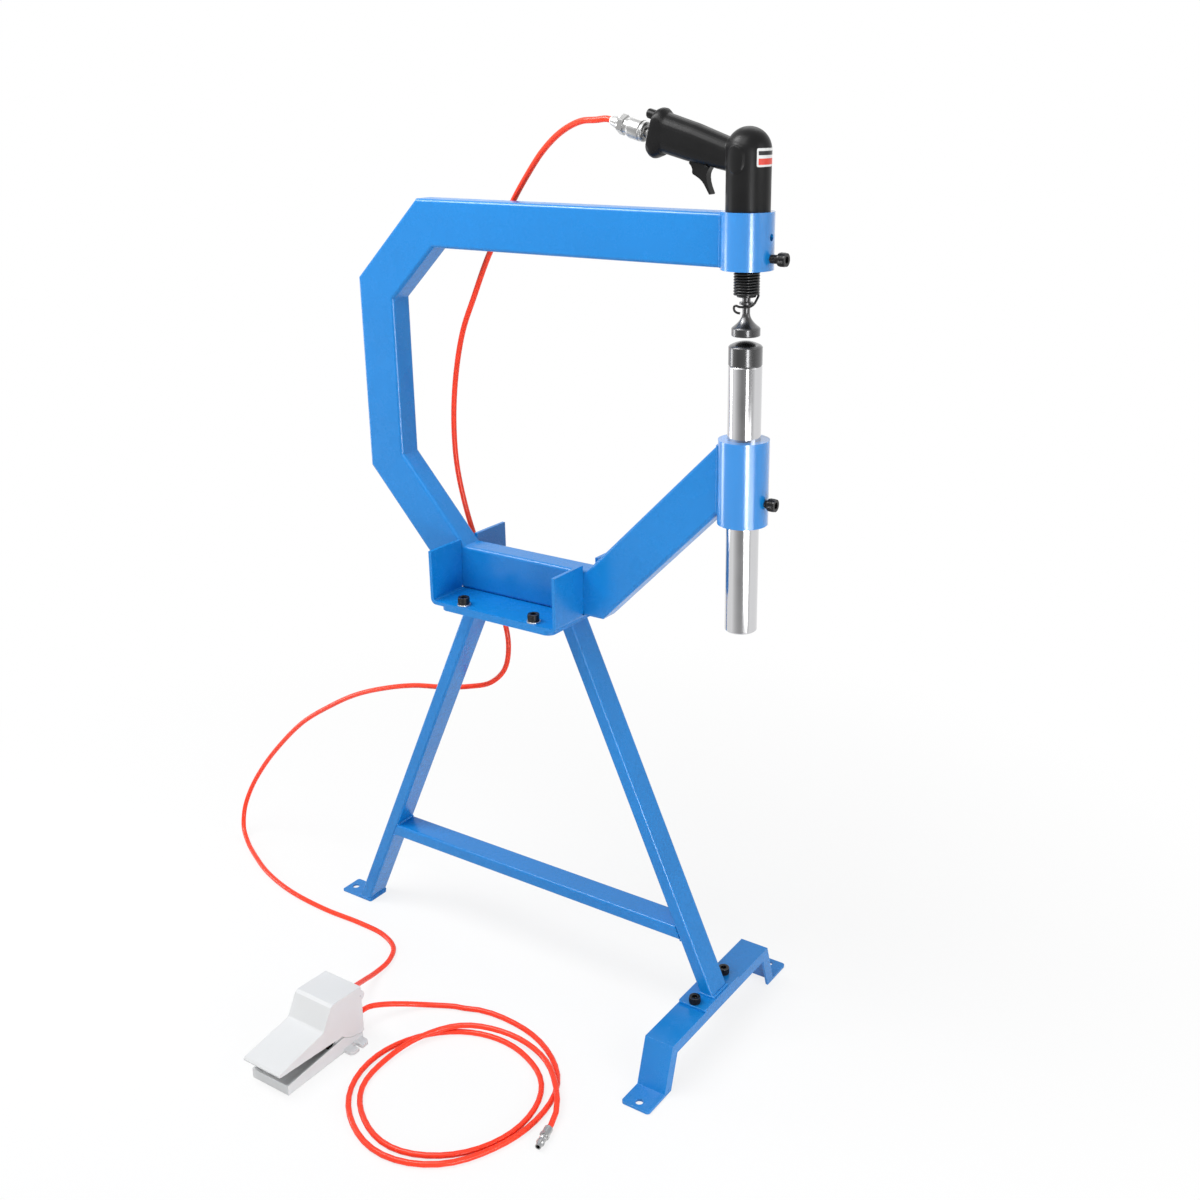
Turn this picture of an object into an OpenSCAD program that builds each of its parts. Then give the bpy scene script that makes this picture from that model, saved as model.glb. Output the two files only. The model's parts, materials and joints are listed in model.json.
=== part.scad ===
// Pneumatic planishing hammer: C-frame on an A-frame stand, air hammer, anvil post and foot valve.
// Millimetres, +Z up. The origin is on the floor, midway between the two anchor holes of the
// front foot. +X points from the column towards the tool, +Y to the far side.

/* [C-frame] */
// Distance from the tool axis to the inner face of the column
throat_depth = 560; // [480:10:640]
// Height of the upper arm's top face above the floor
arm_top = 1168; // [1120:4:1240]
// Height of the underside of the frame above the floor
base_z = 614; // [560:2:660]
// Depth of the frame tube, in the plane of the C
arm_h = 65; // [56:1:72]
// Width of the frame tube, across the plane of the C
arm_w = 36; // [30:1:40]
// Wall of the frame tube
arm_wall = 3; // [2:0.5:4]
// Outer corner radius of the frame tube
arm_corner = 5; // [4:0.5:8]
// Length of the upper chamfer along X
upper_chamfer_x = 117; // [90:1:140]
// Height of the upper chamfer
upper_chamfer_z = 113; // [90:1:140]
// Length of the lower chamfer along X
lower_chamfer_x = 146; // [110:1:160]
// Height of the lower chamfer
lower_chamfer_z = 163; // [130:1:190]
// Distance behind the tool axis at which the lower arm starts to rise
lower_arm_run = 208; // [180:2:240]
// Slope of the lower arm
lower_arm_angle = 45; // [38:1:50]

/* [Collars] */
// Distance of the tool axis ahead of the front foot's centre line
tool_x = 41; // [20:1:60]
// Outer diameter of both collars
collar_d = 65; // [62:1:72]
// How far the upper collar runs past the upper arm at its top and its foot
upper_collar_margin = 1.5; // [0.5:0.5:5]
// How far the lower collar runs past the lower arm at each end
collar_margin = 6; // [3:1:12]
// Height of the open clamp hole above the upper collar's foot
upper_hole_h = 39; // [32:1:46]
// Height of the clamp screw above the upper collar's foot
clamp_screw_h = 14; // [11:1:20]
// Height of the clamp screw above the lower collar's foot
post_screw_h = 30; // [14:1:60]

/* [Stand] */
// Thickness of the cradle's plate
cradle_t = 5; // [4:0.5:8]
// From the cradle bolts to the cradle's edge across the frame
cradle_bolt_edge = 11; // [9:1:20]
// Height of the cradle's side walls above the frame's underside
cradle_wall_h = 74; // [50:1:90]
// How far the cradle's rear wall stands behind the frame's inner corner
cradle_rear_reach = 10; // [6:1:16]
// How far the cradle's front wall stands behind the frame's front inner corner
cradle_front_set = 3; // [0:1:10]
// Inner bend radius of the cradle
cradle_bend_r = 4; // [2:0.5:8]
// Diameter of the relief holes at the cradle's bends
relief_d = 6; // [4:0.5:8]
// Thickness of the stand's top plate
stand_plate_t = 6; // [4:0.5:10]
// From the cradle bolts to the edge of the stand's top plate across the frame
stand_bolt_edge = 11; // [11:1:16]
// Corner radius of the stand's top plate
stand_plate_r = 12; // [6:1:20]
// Distance between the cradle bolts along the frame
bolt_span_x = 124; // [100:2:136]
// Distance between the cradle bolts across the frame
bolt_span_y = 146; // [124:2:166]
// Width of the leg tube across the frame
leg_w = 40; // [30:1:46]
// Thickness of the leg tube
leg_t = 20; // [16:1:26]
// Wall of the leg tube
leg_wall = 2; // [1.5:0.5:3]
// Corner radius of the leg tube
leg_corner = 3.5; // [3:0.5:6]
// Distance between the feet of the two legs, measured at their facing corners
leg_spread = 653; // [580:2:700]
// Height of the crossbar's top face above the floor
crossbar_top = 169; // [140:1:260]
// Width of the crossbar tube across the frame
crossbar_w = 40; // [30:1:44]
// Height of the crossbar tube
crossbar_h = 20; // [16:1:26]

/* [Feet] */
// Width of the front foot's web
foot_w = 45; // [40:1:60]
// Height of the front foot's web above the floor
foot_h = 69; // [55:1:85]
// Thickness of the foot's plate
foot_t = 4; // [3:0.5:6]
// Depth of the front foot's side flanges
flange_h = 17; // [12:1:24]
// Half length of the front foot's web
web_half = 136; // [110:1:160]
// How far each end of the foot leans outwards on the way to its pad
foot_lean = 21; // [12:1:40]
// Length of each floor pad
pad_l = 41; // [34:1:60]
// Distance of the anchor holes from the ends of the front foot's pads
anchor_inset = 12; // [10:1:14]
// Diameter of the anchor holes in all pads
anchor_d = 11; // [8:0.5:13]
// Thickness of the front leg's foot plate
foot_plate_t = 4; // [3:0.5:8]
// Half length of the front leg's foot plate
foot_plate_half = 50; // [50:1:60]
// Distance between the foot bolts
foot_bolt_span = 82; // [76:1:84]
// Length of the rear floor plate
rear_plate_l = 66; // [56:1:90]
// Thickness of the rear floor plate
rear_plate_t = 3; // [2.5:0.5:6]
// Distance of the rear anchor hole from the plate's free end
rear_hole_inset = 13; // [10:1:18]

/* [Fasteners] */
// Thread diameter of the cap screws
screw_d = 10; // [8:0.5:10]
// Head diameter of the cap screws
head_d = 16; // [15:0.5:18]
// Head height of the cap screws
head_h = 10; // [8:0.5:12]
// Width across the flats of the hexagon sockets
socket_af = 8; // [6:0.5:8]
// Depth of the hexagon sockets
socket_depth = 5; // [4:0.5:6]
// Outer diameter of the washers
washer_d = 20; // [19:0.5:22]
// Thickness of the washers
washer_t = 2; // [1:0.5:3]
// Width across the flats of the nuts
nut_af = 17; // [16:0.5:19]
// Height of the nuts
nut_h = 8; // [6:0.5:10]

/* [Air hammer] */
// Outer diameter of the barrel
barrel_d = 54; // [50:0.5:55]
// Height of the barrel's straight part
barrel_l = 134; // [130:1:150]
// Height of the dome on the barrel
dome_h = 26.5; // [20:0.5:27]
// Height of the barrel's lower end above the collar's foot
barrel_set = 4; // [2:0.5:6]
// Outer diameter of the steel cylinder inside the barrel
cylinder_d = 38; // [34:0.5:42]
// Bore of the cylinder, in which the piston runs
piston_d = 19; // [16:0.5:22]
// Length of the piston
piston_l = 34; // [26:1:40]
// Stroke of the piston
piston_stroke = 42; // [30:1:44]
// Diameter of the shank of the hammer die
shank_d = 10.2; // [9:0.1:11]
// Diameter of the hammer die's face
die_d = 35.4; // [30:0.2:44]
// Thickness of the hammer die's head
die_head_t = 10.5; // [8:0.5:14]
// Travel of the hammer die in the nozzle
die_travel = 5; // [3:0.5:6]
// Distance of the hammer die's face below the end of the retainer spring's coils
die_reach = 49; // [46:1:60]
// Gap between the hammer die and the anvil at rest
die_gap = 6; // [5:0.5:20]
// Height of the grip's axis above the barrel's lower end, at the barrel axis
grip_h = 121; // [116:1:124]
// Tilt of the grip above level
grip_tilt = 15; // [8:1:20]
// Length of the grip from the barrel axis to its end face
grip_l = 134; // [130:1:146]
// Depth of the grip near its end
grip_depth = 46; // [44:0.5:50]
// Depth of the grip at the barrel
grip_root_depth = 37; // [36:0.5:41]
// Width of the grip
grip_w = 34; // [32:0.5:38]
// Width of the trigger
trigger_w = 11.5; // [9:0.5:14]
// Diameter of the trigger's pin
trigger_pin_d = 3; // [2.5:0.5:4]
// Diameter of the regulator knob
knob_d = 12; // [9:0.5:13]
// Length of the regulator knob outside the grip
knob_l = 15; // [10:1:20]
// Diameter of the retainer spring's wire
spring_wire_d = 2.9; // [2.4:0.1:2.9]
// Rise of the retainer spring in each turn
spring_pitch = 3.4; // [3.4:0.1:3.6]
// Outer diameter of the retainer spring
spring_d = 32.2; // [31.6:0.2:34]

/* [Anvil] */
// Diameter of the anvil post
post_d = 42; // [36:0.5:46]
// Length of the anvil post below its die
post_l = 347; // [300:1:380]
// Height of the anvil die's head
anvil_head_h = 30; // [22:1:34]
// Rise of the crown on the anvil die
anvil_crown = 5; // [2:0.5:6]
// Diameter of the anvil die's stem
stem_d = 16; // [12:0.5:20]
// Length of the anvil die's stem
stem_l = 25; // [18:1:34]

/* [Quick coupler] */
// Diameter of the coupler's sleeve
sleeve_d = 26; // [25:0.5:30]
// Length of the coupler's sleeve
sleeve_l = 24; // [22:1:28]
// Length of the hose nut
hose_nut_l = 14; // [12:1:18]
// Offset of the air inlet below the grip's axis
inlet_offset = 7; // [5:0.5:9]

/* [Hoses] */
// Outer diameter of the air hoses
hose_d = 8; // [8:0.5:8]

/* [Foot valve] */
// Distance of the foot valve's centre line behind the origin
pedal_x = 449; // [440:1:452]
// Distance of the foot valve's rear in front of the frame's plane
pedal_rear_y = 287; // [286:1:288]
// Width of the foot valve
pedal_w = 70; // [69:0.5:74]
// Length of the foot valve's base
pedal_l = 145; // [138:1:170]
// Height of the hood's top at its front edge
hood_h = 89; // [86:1:94]
// Height of the step's foot on the treadle
step_h = 56; // [52:1:60]
// Height of the treadle's toe end
toe_h = 41; // [39:1:46]
// Height of the treadle's pivot above the floor
pivot_h = 71; // [68:1:73]
// Wall of the foot valve's mouldings
shell_t = 2.5; // [2:0.5:3]
// Running clearance between the treadle and the base
treadle_gap = 0.5; // [0.4:0.1:1]
// Drop of the treadle's toe end at full travel
treadle_drop = 11; // [6:1:12]

/* [Hidden] */

$fn = 64;
frame_blue = [0.16, 0.46, 0.83];
tool_black = [0.14, 0.14, 0.15];
bright_steel = [0.75, 0.76, 0.78];
screw_black = [0.1, 0.1, 0.1];
zinc_grey = [0.62, 0.63, 0.65];
hose_red = [0.96, 0.25, 0.16];
pedal_grey = [0.87, 0.87, 0.88];

// Clearances
slip = 0.05;        // radial clearance of a running fit
seat_gap = 0.3;     // gap of parts that only seat
bolt_play = 0.5;    // radial play of a bolt in its hole
cut = 1;            // overshoot of every cutting shape

// Outline of the C in the XZ plane, walked from the upper collar round to the lower one
column_x = tool_x - throat_depth;
column_back = column_x - arm_h;
lower_arm_x = tool_x - lower_arm_run;
lower_arm_rise = lower_arm_run * tan(lower_arm_angle);
outer_path = [
    [tool_x, arm_top],
    [column_back + upper_chamfer_x, arm_top],
    [column_back, arm_top - upper_chamfer_z],
    [column_back, base_z + lower_chamfer_z],
    [column_back + lower_chamfer_x, base_z],
    [lower_arm_x, base_z],
    [tool_x, base_z + lower_arm_rise]
];

function along(k) = let (d = outer_path[k + 1] - outer_path[k]) d / norm(d);
function inward(k) = [-along(k)[1], along(k)[0]];
function meet(p, d, q, e) = p + d * cross(q - p, e) / cross(d, e);
function inner_corner(k) = meet(outer_path[k - 1] + arm_h * inward(k - 1), along(k - 1),
    outer_path[k] + arm_h * inward(k), along(k));
last = len(outer_path) - 1;
inner_path = [
    outer_path[0] - [0, arm_h],
    for (k = [1 : last - 1]) inner_corner(k),
    meet(outer_path[last - 1] + arm_h * inward(last - 1), along(last - 1), outer_path[last], [0, 1])
];

// Collars
collar_r = collar_d / 2;
barrel_r = barrel_d / 2;
post_r = post_d / 2;
arm_mid = arm_top - arm_h / 2;
upper_collar_h = arm_h + 2 * upper_collar_margin;
upper_collar_z = arm_mid - upper_collar_h / 2;
cope_depth = sqrt(pow(collar_r, 2) - pow(arm_w / 2, 2));
lower_collar_z = outer_path[last][1] - collar_r * tan(lower_arm_angle) - collar_margin;
lower_collar_top = inner_path[last][1] - cope_depth * tan(lower_arm_angle) + collar_margin;
tap_r = 0.425 * screw_d;

// Stand
cradle_x0 = inner_path[4][0] - cradle_rear_reach;
cradle_x1 = inner_path[5][0] - cradle_front_set;
cradle_mid = (cradle_x0 + cradle_x1) / 2;
cradle_z = base_z - cradle_t;
stand_top = cradle_z - stand_plate_t;
plate_x0 = cradle_x0 + 16;
plate_x1 = cradle_x1 - 9;
plate_mid = (plate_x0 + plate_x1) / 2;
bolt_x = [for (s = [-1, 1]) plate_mid + s * bolt_span_x / 2];
bolt_y = [for (s = [-1, 1]) s * bolt_span_y / 2];
cradle_half_w = bolt_span_y / 2 + cradle_bolt_edge;
stand_plate_half_w = bolt_span_y / 2 + stand_bolt_edge;
notch_w = arm_w + 2 * seat_gap;
foot_plate_top = foot_h + foot_plate_t;
// Facing corners of the legs: top and bottom points in the XZ plane
front_leg_top = [plate_x1 - 36, stand_top];
front_leg_foot = [-4, foot_plate_top];
rear_leg_top = [plate_x0 + 22, stand_top];
rear_leg_foot = [front_leg_foot[0] - leg_spread, rear_plate_t];
rear_plate_x = rear_leg_foot[0] + 3;
rear_hole_x = rear_plate_x - rear_plate_l + rear_hole_inset;
screw_r = screw_d / 2;
foot_bolt_y = [for (s = [-1, 1]) s * foot_bolt_span / 2];

// Air hammer, heights
barrel_z = upper_collar_z + barrel_set;
dome_z = barrel_z + barrel_l;
spring_r = (spring_d - spring_wire_d) / 2;
spring_top = barrel_z - 0.3 - spring_wire_d / 2;
spring_steps = 8;
spring_turns = 9.75;
spring_low = spring_top - spring_turns * spring_pitch;
shank_r = shank_d / 2;
flange_t = 3;
flange_r = 8.5;
flange_z = spring_low - 10.8;
nozzle_z = flange_z + flange_t + die_travel + 1;
nozzle_r = spring_r * cos(180 / spring_steps) - spring_wire_d / 2 - seat_gap;
die_bottom = spring_low - die_reach;
die_top = die_bottom + die_head_t;
shank_top = barrel_z + 26;
piston_z = shank_top + die_travel + seat_gap;
cylinder_top = piston_z + piston_l + piston_stroke + 2;
cylinder_z = barrel_z + 2;
valve_block_t = 9;
grip_z = barrel_z + grip_h;
trigger_pivot = [49, 20];
trigger_angle = 11;
valve_u = 67;
valve_travel = 3;

// Anvil
anvil_top = die_bottom - die_gap;
post_top = anvil_top - anvil_head_h;
post_z = post_top - post_l;

// Foot valve
treadle_angle = treadle_drop / (pedal_l + 10) * 180 / PI;
pivot_y = 1;
boss_r = 7;
skirt_r = 59.5;
base_lip_h = 15;
port_r = 6;
ports = [[-15, 46], [15, 26]];
hose_r = hose_d / 2;

module rounded_rect(w, h, r) {
    square([w - 2 * r, h], center = true);
    square([w, h - 2 * r], center = true);
    for (x = [-1, 1], y = [-1, 1]) translate([x * (w / 2 - r), y * (h / 2 - r)]) circle(r);
}

module tube_profile(w, h, wall, r) {
    difference() {
        rounded_rect(w, h, r);
        rounded_rect(w - 2 * wall, h - 2 * wall, r - wall / 2);
    }
}

// Lays a profile drawn across Y and Z along +X
module along_x(l) {
    rotate([90, 0, 90]) linear_extrude(l) children();
}

// Stands an outline drawn in X and Z upright, w thick across Y
module upright(w) {
    rotate([90, 0, 0]) linear_extrude(w, center = true) children();
}

// One mitred length of the frame, from corner k to corner k + 1
module frame_tube(k) {
    a = outer_path[k];
    b = outer_path[k + 1];
    d = along(k);
    reach = 2 * arm_h;
    intersection() {
        translate([a[0], 0, a[1]]) rotate([0, -atan2(d[1], d[0]), 0]) translate([-reach, 0, arm_h / 2])
            along_x(norm(b - a) + 2 * reach) tube_profile(arm_w, arm_h, arm_wall, arm_corner);
        upright(arm_w + 2 * cut) polygon([a, b, inner_path[k + 1], inner_path[k]]);
    }
}

module upper_arm() {
    color(frame_blue) difference() {
        frame_tube(0);
        translate([tool_x, 0, upper_collar_z - cut]) cylinder(h = upper_collar_h + 2 * cut, r = collar_r);
    }
}

module upper_chamfer_tube() {
    color(frame_blue) frame_tube(1);
}

module column() {
    color(frame_blue) frame_tube(2);
}

module lower_chamfer_tube() {
    color(frame_blue) frame_tube(3);
}

module base_tube() {
    color(frame_blue) frame_tube(4);
}

module lower_arm() {
    color(frame_blue) difference() {
        frame_tube(5);
        translate([tool_x, 0, lower_collar_z - arm_h])
            cylinder(h = lower_collar_top - lower_collar_z + 2 * arm_h, r = collar_r);
    }
}

// Radial hole towards +X through one wall of a collar
module radial_hole(z, r) {
    translate([tool_x, 0, z]) rotate([0, 90, 0]) cylinder(h = collar_r + cut, r = r);
}

module upper_collar() {
    color(frame_blue) difference() {
        translate([tool_x, 0, upper_collar_z]) cylinder(h = upper_collar_h, r = collar_r);
        translate([tool_x, 0, upper_collar_z - cut])
            cylinder(h = upper_collar_h + 2 * cut, r = barrel_r + slip);
        radial_hole(upper_collar_z + clamp_screw_h, screw_r + slip);
        radial_hole(upper_collar_z + upper_hole_h, tap_r);
    }
}

module lower_collar() {
    h = lower_collar_top - lower_collar_z;
    color(frame_blue) difference() {
        translate([tool_x, 0, lower_collar_z]) cylinder(h = h, r = collar_r);
        translate([tool_x, 0, lower_collar_z - cut]) cylinder(h = h + 2 * cut, r = post_r + slip);
        radial_hole(lower_collar_z + post_screw_h, screw_r + slip);
    }
}

// Bent plate of the cradle, seen from the side
module cradle_outline(inset, r) {
    w = cradle_x1 - cradle_x0 - 2 * inset;
    h = cradle_wall_h + cradle_t + arm_h;
    translate([cradle_mid, cradle_z + inset + h / 2]) rounded_rect(w, h, r);
}

module cradle() {
    wall_top = base_z + cradle_wall_h;
    color(frame_blue) difference() {
        upright(2 * cradle_half_w) difference() {
            cradle_outline(0, cradle_bend_r + cradle_t);
            cradle_outline(cradle_t, cradle_bend_r);
            translate([cradle_x0 - cut, wall_top]) square([cradle_x1 - cradle_x0 + 2 * cut, 2 * arm_h]);
        }
        translate([cradle_x0 - cut, -notch_w / 2, base_z])
            cube([cradle_x1 - cradle_x0 + 2 * cut, notch_w, cradle_wall_h + cut]);
        for (s = [-1, 1]) translate([cradle_x0 - cut, s * notch_w / 2, base_z + relief_d / 2 + 1])
            rotate([0, 90, 0]) cylinder(h = cradle_x1 - cradle_x0 + 2 * cut, d = relief_d);
        for (x = bolt_x, y = bolt_y) translate([x, y, cradle_z - cut])
            cylinder(h = cradle_t + 2 * cut, r = screw_r + bolt_play);
    }
}

module stand_top_plate() {
    color(frame_blue) difference() {
        translate([plate_mid, 0, stand_top]) linear_extrude(stand_plate_t)
            rounded_rect(plate_x1 - plate_x0, 2 * stand_plate_half_w, stand_plate_r);
        for (x = bolt_x, y = bolt_y) translate([x, y, stand_top - cut])
            cylinder(h = stand_plate_t + 2 * cut, r = screw_r + slip);
    }
}

// A leg between two level cuts; p and q are the top and bottom of the edge that faces the other leg,
// and side is +1 where the tube lies ahead of that edge
module leg(p, q, side) {
    d = (q - p) / norm(q - p);
    reach = 3 * leg_t;
    w = norm(q - p) + 2 * reach;
    intersection() {
        translate([p[0], 0, p[1]]) rotate([0, -atan2(d[1], d[0]), 0])
            translate([-reach, 0, side * leg_t / 2])
                along_x(w) tube_profile(leg_w, leg_t, leg_wall, leg_corner);
        translate([-w, -leg_w, q[1]]) cube([2 * w, 2 * leg_w, p[1] - q[1]]);
    }
}

module front_leg() {
    color(frame_blue) leg(front_leg_top, front_leg_foot, 1);
}

module rear_leg() {
    color(frame_blue) leg(rear_leg_top, rear_leg_foot, -1);
}

// Point of a leg's facing edge at height z
function on_leg(p, q, z) = q[0] + (p[0] - q[0]) * (z - q[1]) / (p[1] - q[1]);

module crossbar() {
    z0 = crossbar_top - crossbar_h;
    function front_x(z) = on_leg(front_leg_top, front_leg_foot, z);
    function rear_x(z) = on_leg(rear_leg_top, rear_leg_foot, z);
    color(frame_blue) intersection() {
        translate([rear_x(z0) - crossbar_h, 0, z0 + crossbar_h / 2])
            along_x(front_x(z0) - rear_x(z0) + 2 * crossbar_h)
            tube_profile(crossbar_w, crossbar_h, leg_wall, leg_corner);
        upright(crossbar_w + 2 * cut) polygon([[rear_x(z0), z0], [front_x(z0), z0],
            [front_x(crossbar_top), crossbar_top], [rear_x(crossbar_top), crossbar_top]]);
    }
}

module front_foot_plate() {
    color(frame_blue) difference() {
        translate([0, 0, foot_h]) linear_extrude(foot_plate_t) rounded_rect(foot_w, 2 * foot_plate_half, 4);
        for (y = foot_bolt_y) translate([0, y, foot_h - cut])
            cylinder(h = foot_plate_t + 2 * cut, r = screw_r + bolt_play);
    }
}

module rear_foot_plate() {
    color(frame_blue) difference() {
        translate([rear_plate_x - rear_plate_l / 2, 0, 0]) linear_extrude(rear_plate_t)
            rounded_rect(rear_plate_l, leg_w, 4);
        translate([rear_hole_x, 0, -cut]) cylinder(h = rear_plate_t + 2 * cut, d = anchor_d);
    }
}

// One half of the foot's outline seen along X, and the outline that lies a given depth inside it
foot_slope = foot_lean / (foot_h - foot_t);
pad_start = web_half + foot_lean;
pad_end = pad_start + pad_l;
anchor_y = pad_end - anchor_inset;
foot_outer = [[0, foot_h], [web_half, foot_h], [pad_start, foot_t], [pad_start, 0], [0, 0]];
function foot_inner(depth) = let (y = web_half - depth * sqrt(1 + foot_slope * foot_slope))
    [[-cut, foot_h - depth], [y + foot_slope * depth, foot_h - depth],
        [y + foot_slope * (foot_h + cut), -cut], [-cut, -cut]];

module foot_strip(depth, w) {
    rotate([90, 0, 90]) linear_extrude(w, center = true) difference() {
        polygon(foot_outer);
        polygon(foot_inner(depth));
    }
}

module front_foot() {
    color(frame_blue) difference() {
        for (s = [0, 1]) mirror([0, s, 0]) difference() {
            union() {
                foot_strip(foot_t, foot_w);
                for (m = [-1, 1]) translate([m * (foot_w - foot_t) / 2, 0, 0]) foot_strip(flange_h, foot_t);
                linear_extrude(foot_t) {
                    translate([-foot_w / 2, pad_start - cut]) square([foot_w, pad_l / 2]);
                    translate([0, pad_start + pad_l / 2]) rounded_rect(foot_w, pad_l, 5);
                }
            }
            translate([0, anchor_y, -cut]) cylinder(h = foot_t + 2 * cut, d = anchor_d);
        }
        for (y = foot_bolt_y) translate([0, y, foot_h - foot_t - cut])
            cylinder(h = foot_t + 2 * cut, r = screw_r + bolt_play);
    }
}

// Socket head cap screw along -Z, with its head's underside at the origin
module cap_screw(l) {
    difference() {
        union() {
            cylinder(h = head_h, d = head_d);
            translate([0, 0, -l]) cylinder(h = l, r = screw_r);
        }
        translate([0, 0, head_h - socket_depth])
            cylinder(h = socket_depth + cut, d = socket_af / cos(30), $fn = 6);
    }
}

module hex_nut() {
    difference() {
        cylinder(h = nut_h, d = nut_af / cos(30), $fn = 6);
        translate([0, 0, -cut]) cylinder(h = nut_h + 2 * cut, r = screw_r + slip);
    }
}

module washer() {
    difference() {
        cylinder(h = washer_t, d = washer_d);
        translate([0, 0, -cut]) cylinder(h = washer_t + 2 * cut, r = screw_r + bolt_play / 2);
    }
}

// The cradle's screws end in tapped holes of the stand's top plate
module cradle_bolts() {
    head_z = base_z + washer_t;
    color(screw_black) for (x = bolt_x, y = bolt_y) translate([x, y, head_z])
        cap_screw(head_z - stand_top);
}

module cradle_washers() {
    color(zinc_grey) for (x = bolt_x, y = bolt_y) translate([x, y, base_z]) washer();
}

foot_nut_z = foot_h - foot_t - nut_h;
module foot_bolts() {
    color(screw_black) for (y = foot_bolt_y) translate([0, y, foot_plate_top])
        cap_screw(foot_plate_top - foot_nut_z + 2);
}

module foot_nuts() {
    color(zinc_grey) for (y = foot_bolt_y) translate([0, y, foot_nut_z]) hex_nut();
}

// Places a child in the grip's own axes: X along the grip away from the barrel, Z towards the trigger
module in_grip() {
    translate([tool_x, 0, grip_z]) rotate([0, -(180 - grip_tilt), 0]) children();
}

// Thin slice of the grip, d deep and w wide, at distance u from the barrel axis
module grip_slice(u, d, w, r) {
    corner = [for (c = [0 : 3], a = [0 : 15 : 90]) let (sx = c == 0 || c == 3 ? 1 : -1, sy = c < 2 ? 1 : -1)
        [sx * (w / 2 - r) + r * cos(90 * c + a), sy * (d / 2 - r) + r * sin(90 * c + a)]];
    translate([u, 0, 0]) along_x(0.2) polygon(corner);
}

module grip_solid() {
    root = 16;
    middle = 77;
    flange = grip_l - 13;
    in_grip() {
        hull() {
            grip_slice(root, grip_root_depth, grip_w - 2, 15);
            grip_slice(middle, grip_depth, grip_w, 16);
        }
        hull() {
            grip_slice(middle, grip_depth, grip_w, 16);
            grip_slice(flange, grip_depth + 1.5, grip_w, 16);
        }
        translate([0, 0, 2.6]) hull() {
            grip_slice(flange - 6, grip_depth + 2, grip_w, 15);
            grip_slice(flange + 1, grip_depth + 12, grip_w + 1, 16);
            grip_slice(flange + 4, grip_depth + 15, grip_w + 1, 16);
            grip_slice(flange + 8, grip_depth + 14, grip_w + 1, 16);
            grip_slice(grip_l - 0.2, grip_depth + 7, grip_w, 15);
        }
    }
}

module side_boss() {
    boss_w = 22;
    boss_l = 31;
    intersection() {
        translate([tool_x, 0, grip_z - boss_l]) cylinder(h = 2 * boss_l, r = barrel_r + 1.5);
        translate([tool_x - 4, 0, grip_z + 3]) upright(barrel_d + 6) {
            square([boss_w, boss_l - boss_w], center = true);
            for (s = [-1, 1]) translate([0, s * (boss_l - boss_w) / 2]) circle(d = boss_w);
        }
    }
}

module hammer_housing() {
    dome = [for (a = [0 : 7.5 : 90]) [barrel_r * cos(a), dome_h * sin(a)]];
    color(tool_black) difference() {
        union() {
            translate([tool_x, 0, barrel_z]) cylinder(h = barrel_l, r = barrel_r);
            translate([tool_x, 0, dome_z]) rotate_extrude() polygon(concat([[0, 0]], dome));
            side_boss();
            grip_solid();
        }
        // Room for the cylinder and its valve block
        translate([tool_x, 0, barrel_z - cut])
            cylinder(h = cylinder_top + valve_block_t - barrel_z + cut, r = cylinder_d / 2 + slip);
        in_grip() {
            // Slot for the trigger, bore for its pin, for the throttle valve and for the air
            translate([40, -trigger_w / 2 - seat_gap, 12]) cube([36.5, trigger_w + 2 * seat_gap, 30]);
            translate([trigger_pivot[0], 0, trigger_pivot[1]]) rotate([90, 0, 0])
                cylinder(h = grip_w + 4, r = trigger_pin_d / 2 + slip, center = true);
            translate([valve_u, 0, -8]) cylinder(h = 30, r = 4 + slip);
            translate([grip_l - 16, 0, inlet_offset]) rotate([0, 90, 0]) cylinder(h = 16 + cut, r = 6.5);
            translate([grip_l - 12, 0, inlet_offset - 22.5])
                rotate([0, 90, 0]) cylinder(h = 12 + cut, r = 4 + slip);
        }
    }
}

module hammer_cylinder() {
    color(bright_steel) difference() {
        union() {
            translate([tool_x, 0, cylinder_z]) cylinder(h = cylinder_top - cylinder_z, r = cylinder_d / 2);
            translate([tool_x, 0, nozzle_z]) cylinder(h = cylinder_z - nozzle_z, r = nozzle_r);
        }
        translate([tool_x, 0, nozzle_z - cut]) cylinder(h = cylinder_top - nozzle_z, r = shank_r + slip);
        translate([tool_x, 0, piston_z])
            cylinder(h = cylinder_top - piston_z + cut, r = piston_d / 2 + slip);
    }
}

module valve_block() {
    color(zinc_grey) difference() {
        translate([tool_x, 0, cylinder_top]) cylinder(h = valve_block_t, r = cylinder_d / 2);
        translate([tool_x, 0, cylinder_top - cut]) cylinder(h = valve_block_t + 2 * cut, r = 3);
    }
}

module piston() {
    color(bright_steel) translate([tool_x, 0, piston_z]) rotate_extrude()
        polygon([[0, 0], [piston_d / 2 - 1, 0], [piston_d / 2, 1], [piston_d / 2, piston_l - 1],
            [piston_d / 2 - 1, piston_l], [0, piston_l]]);
}

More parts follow.
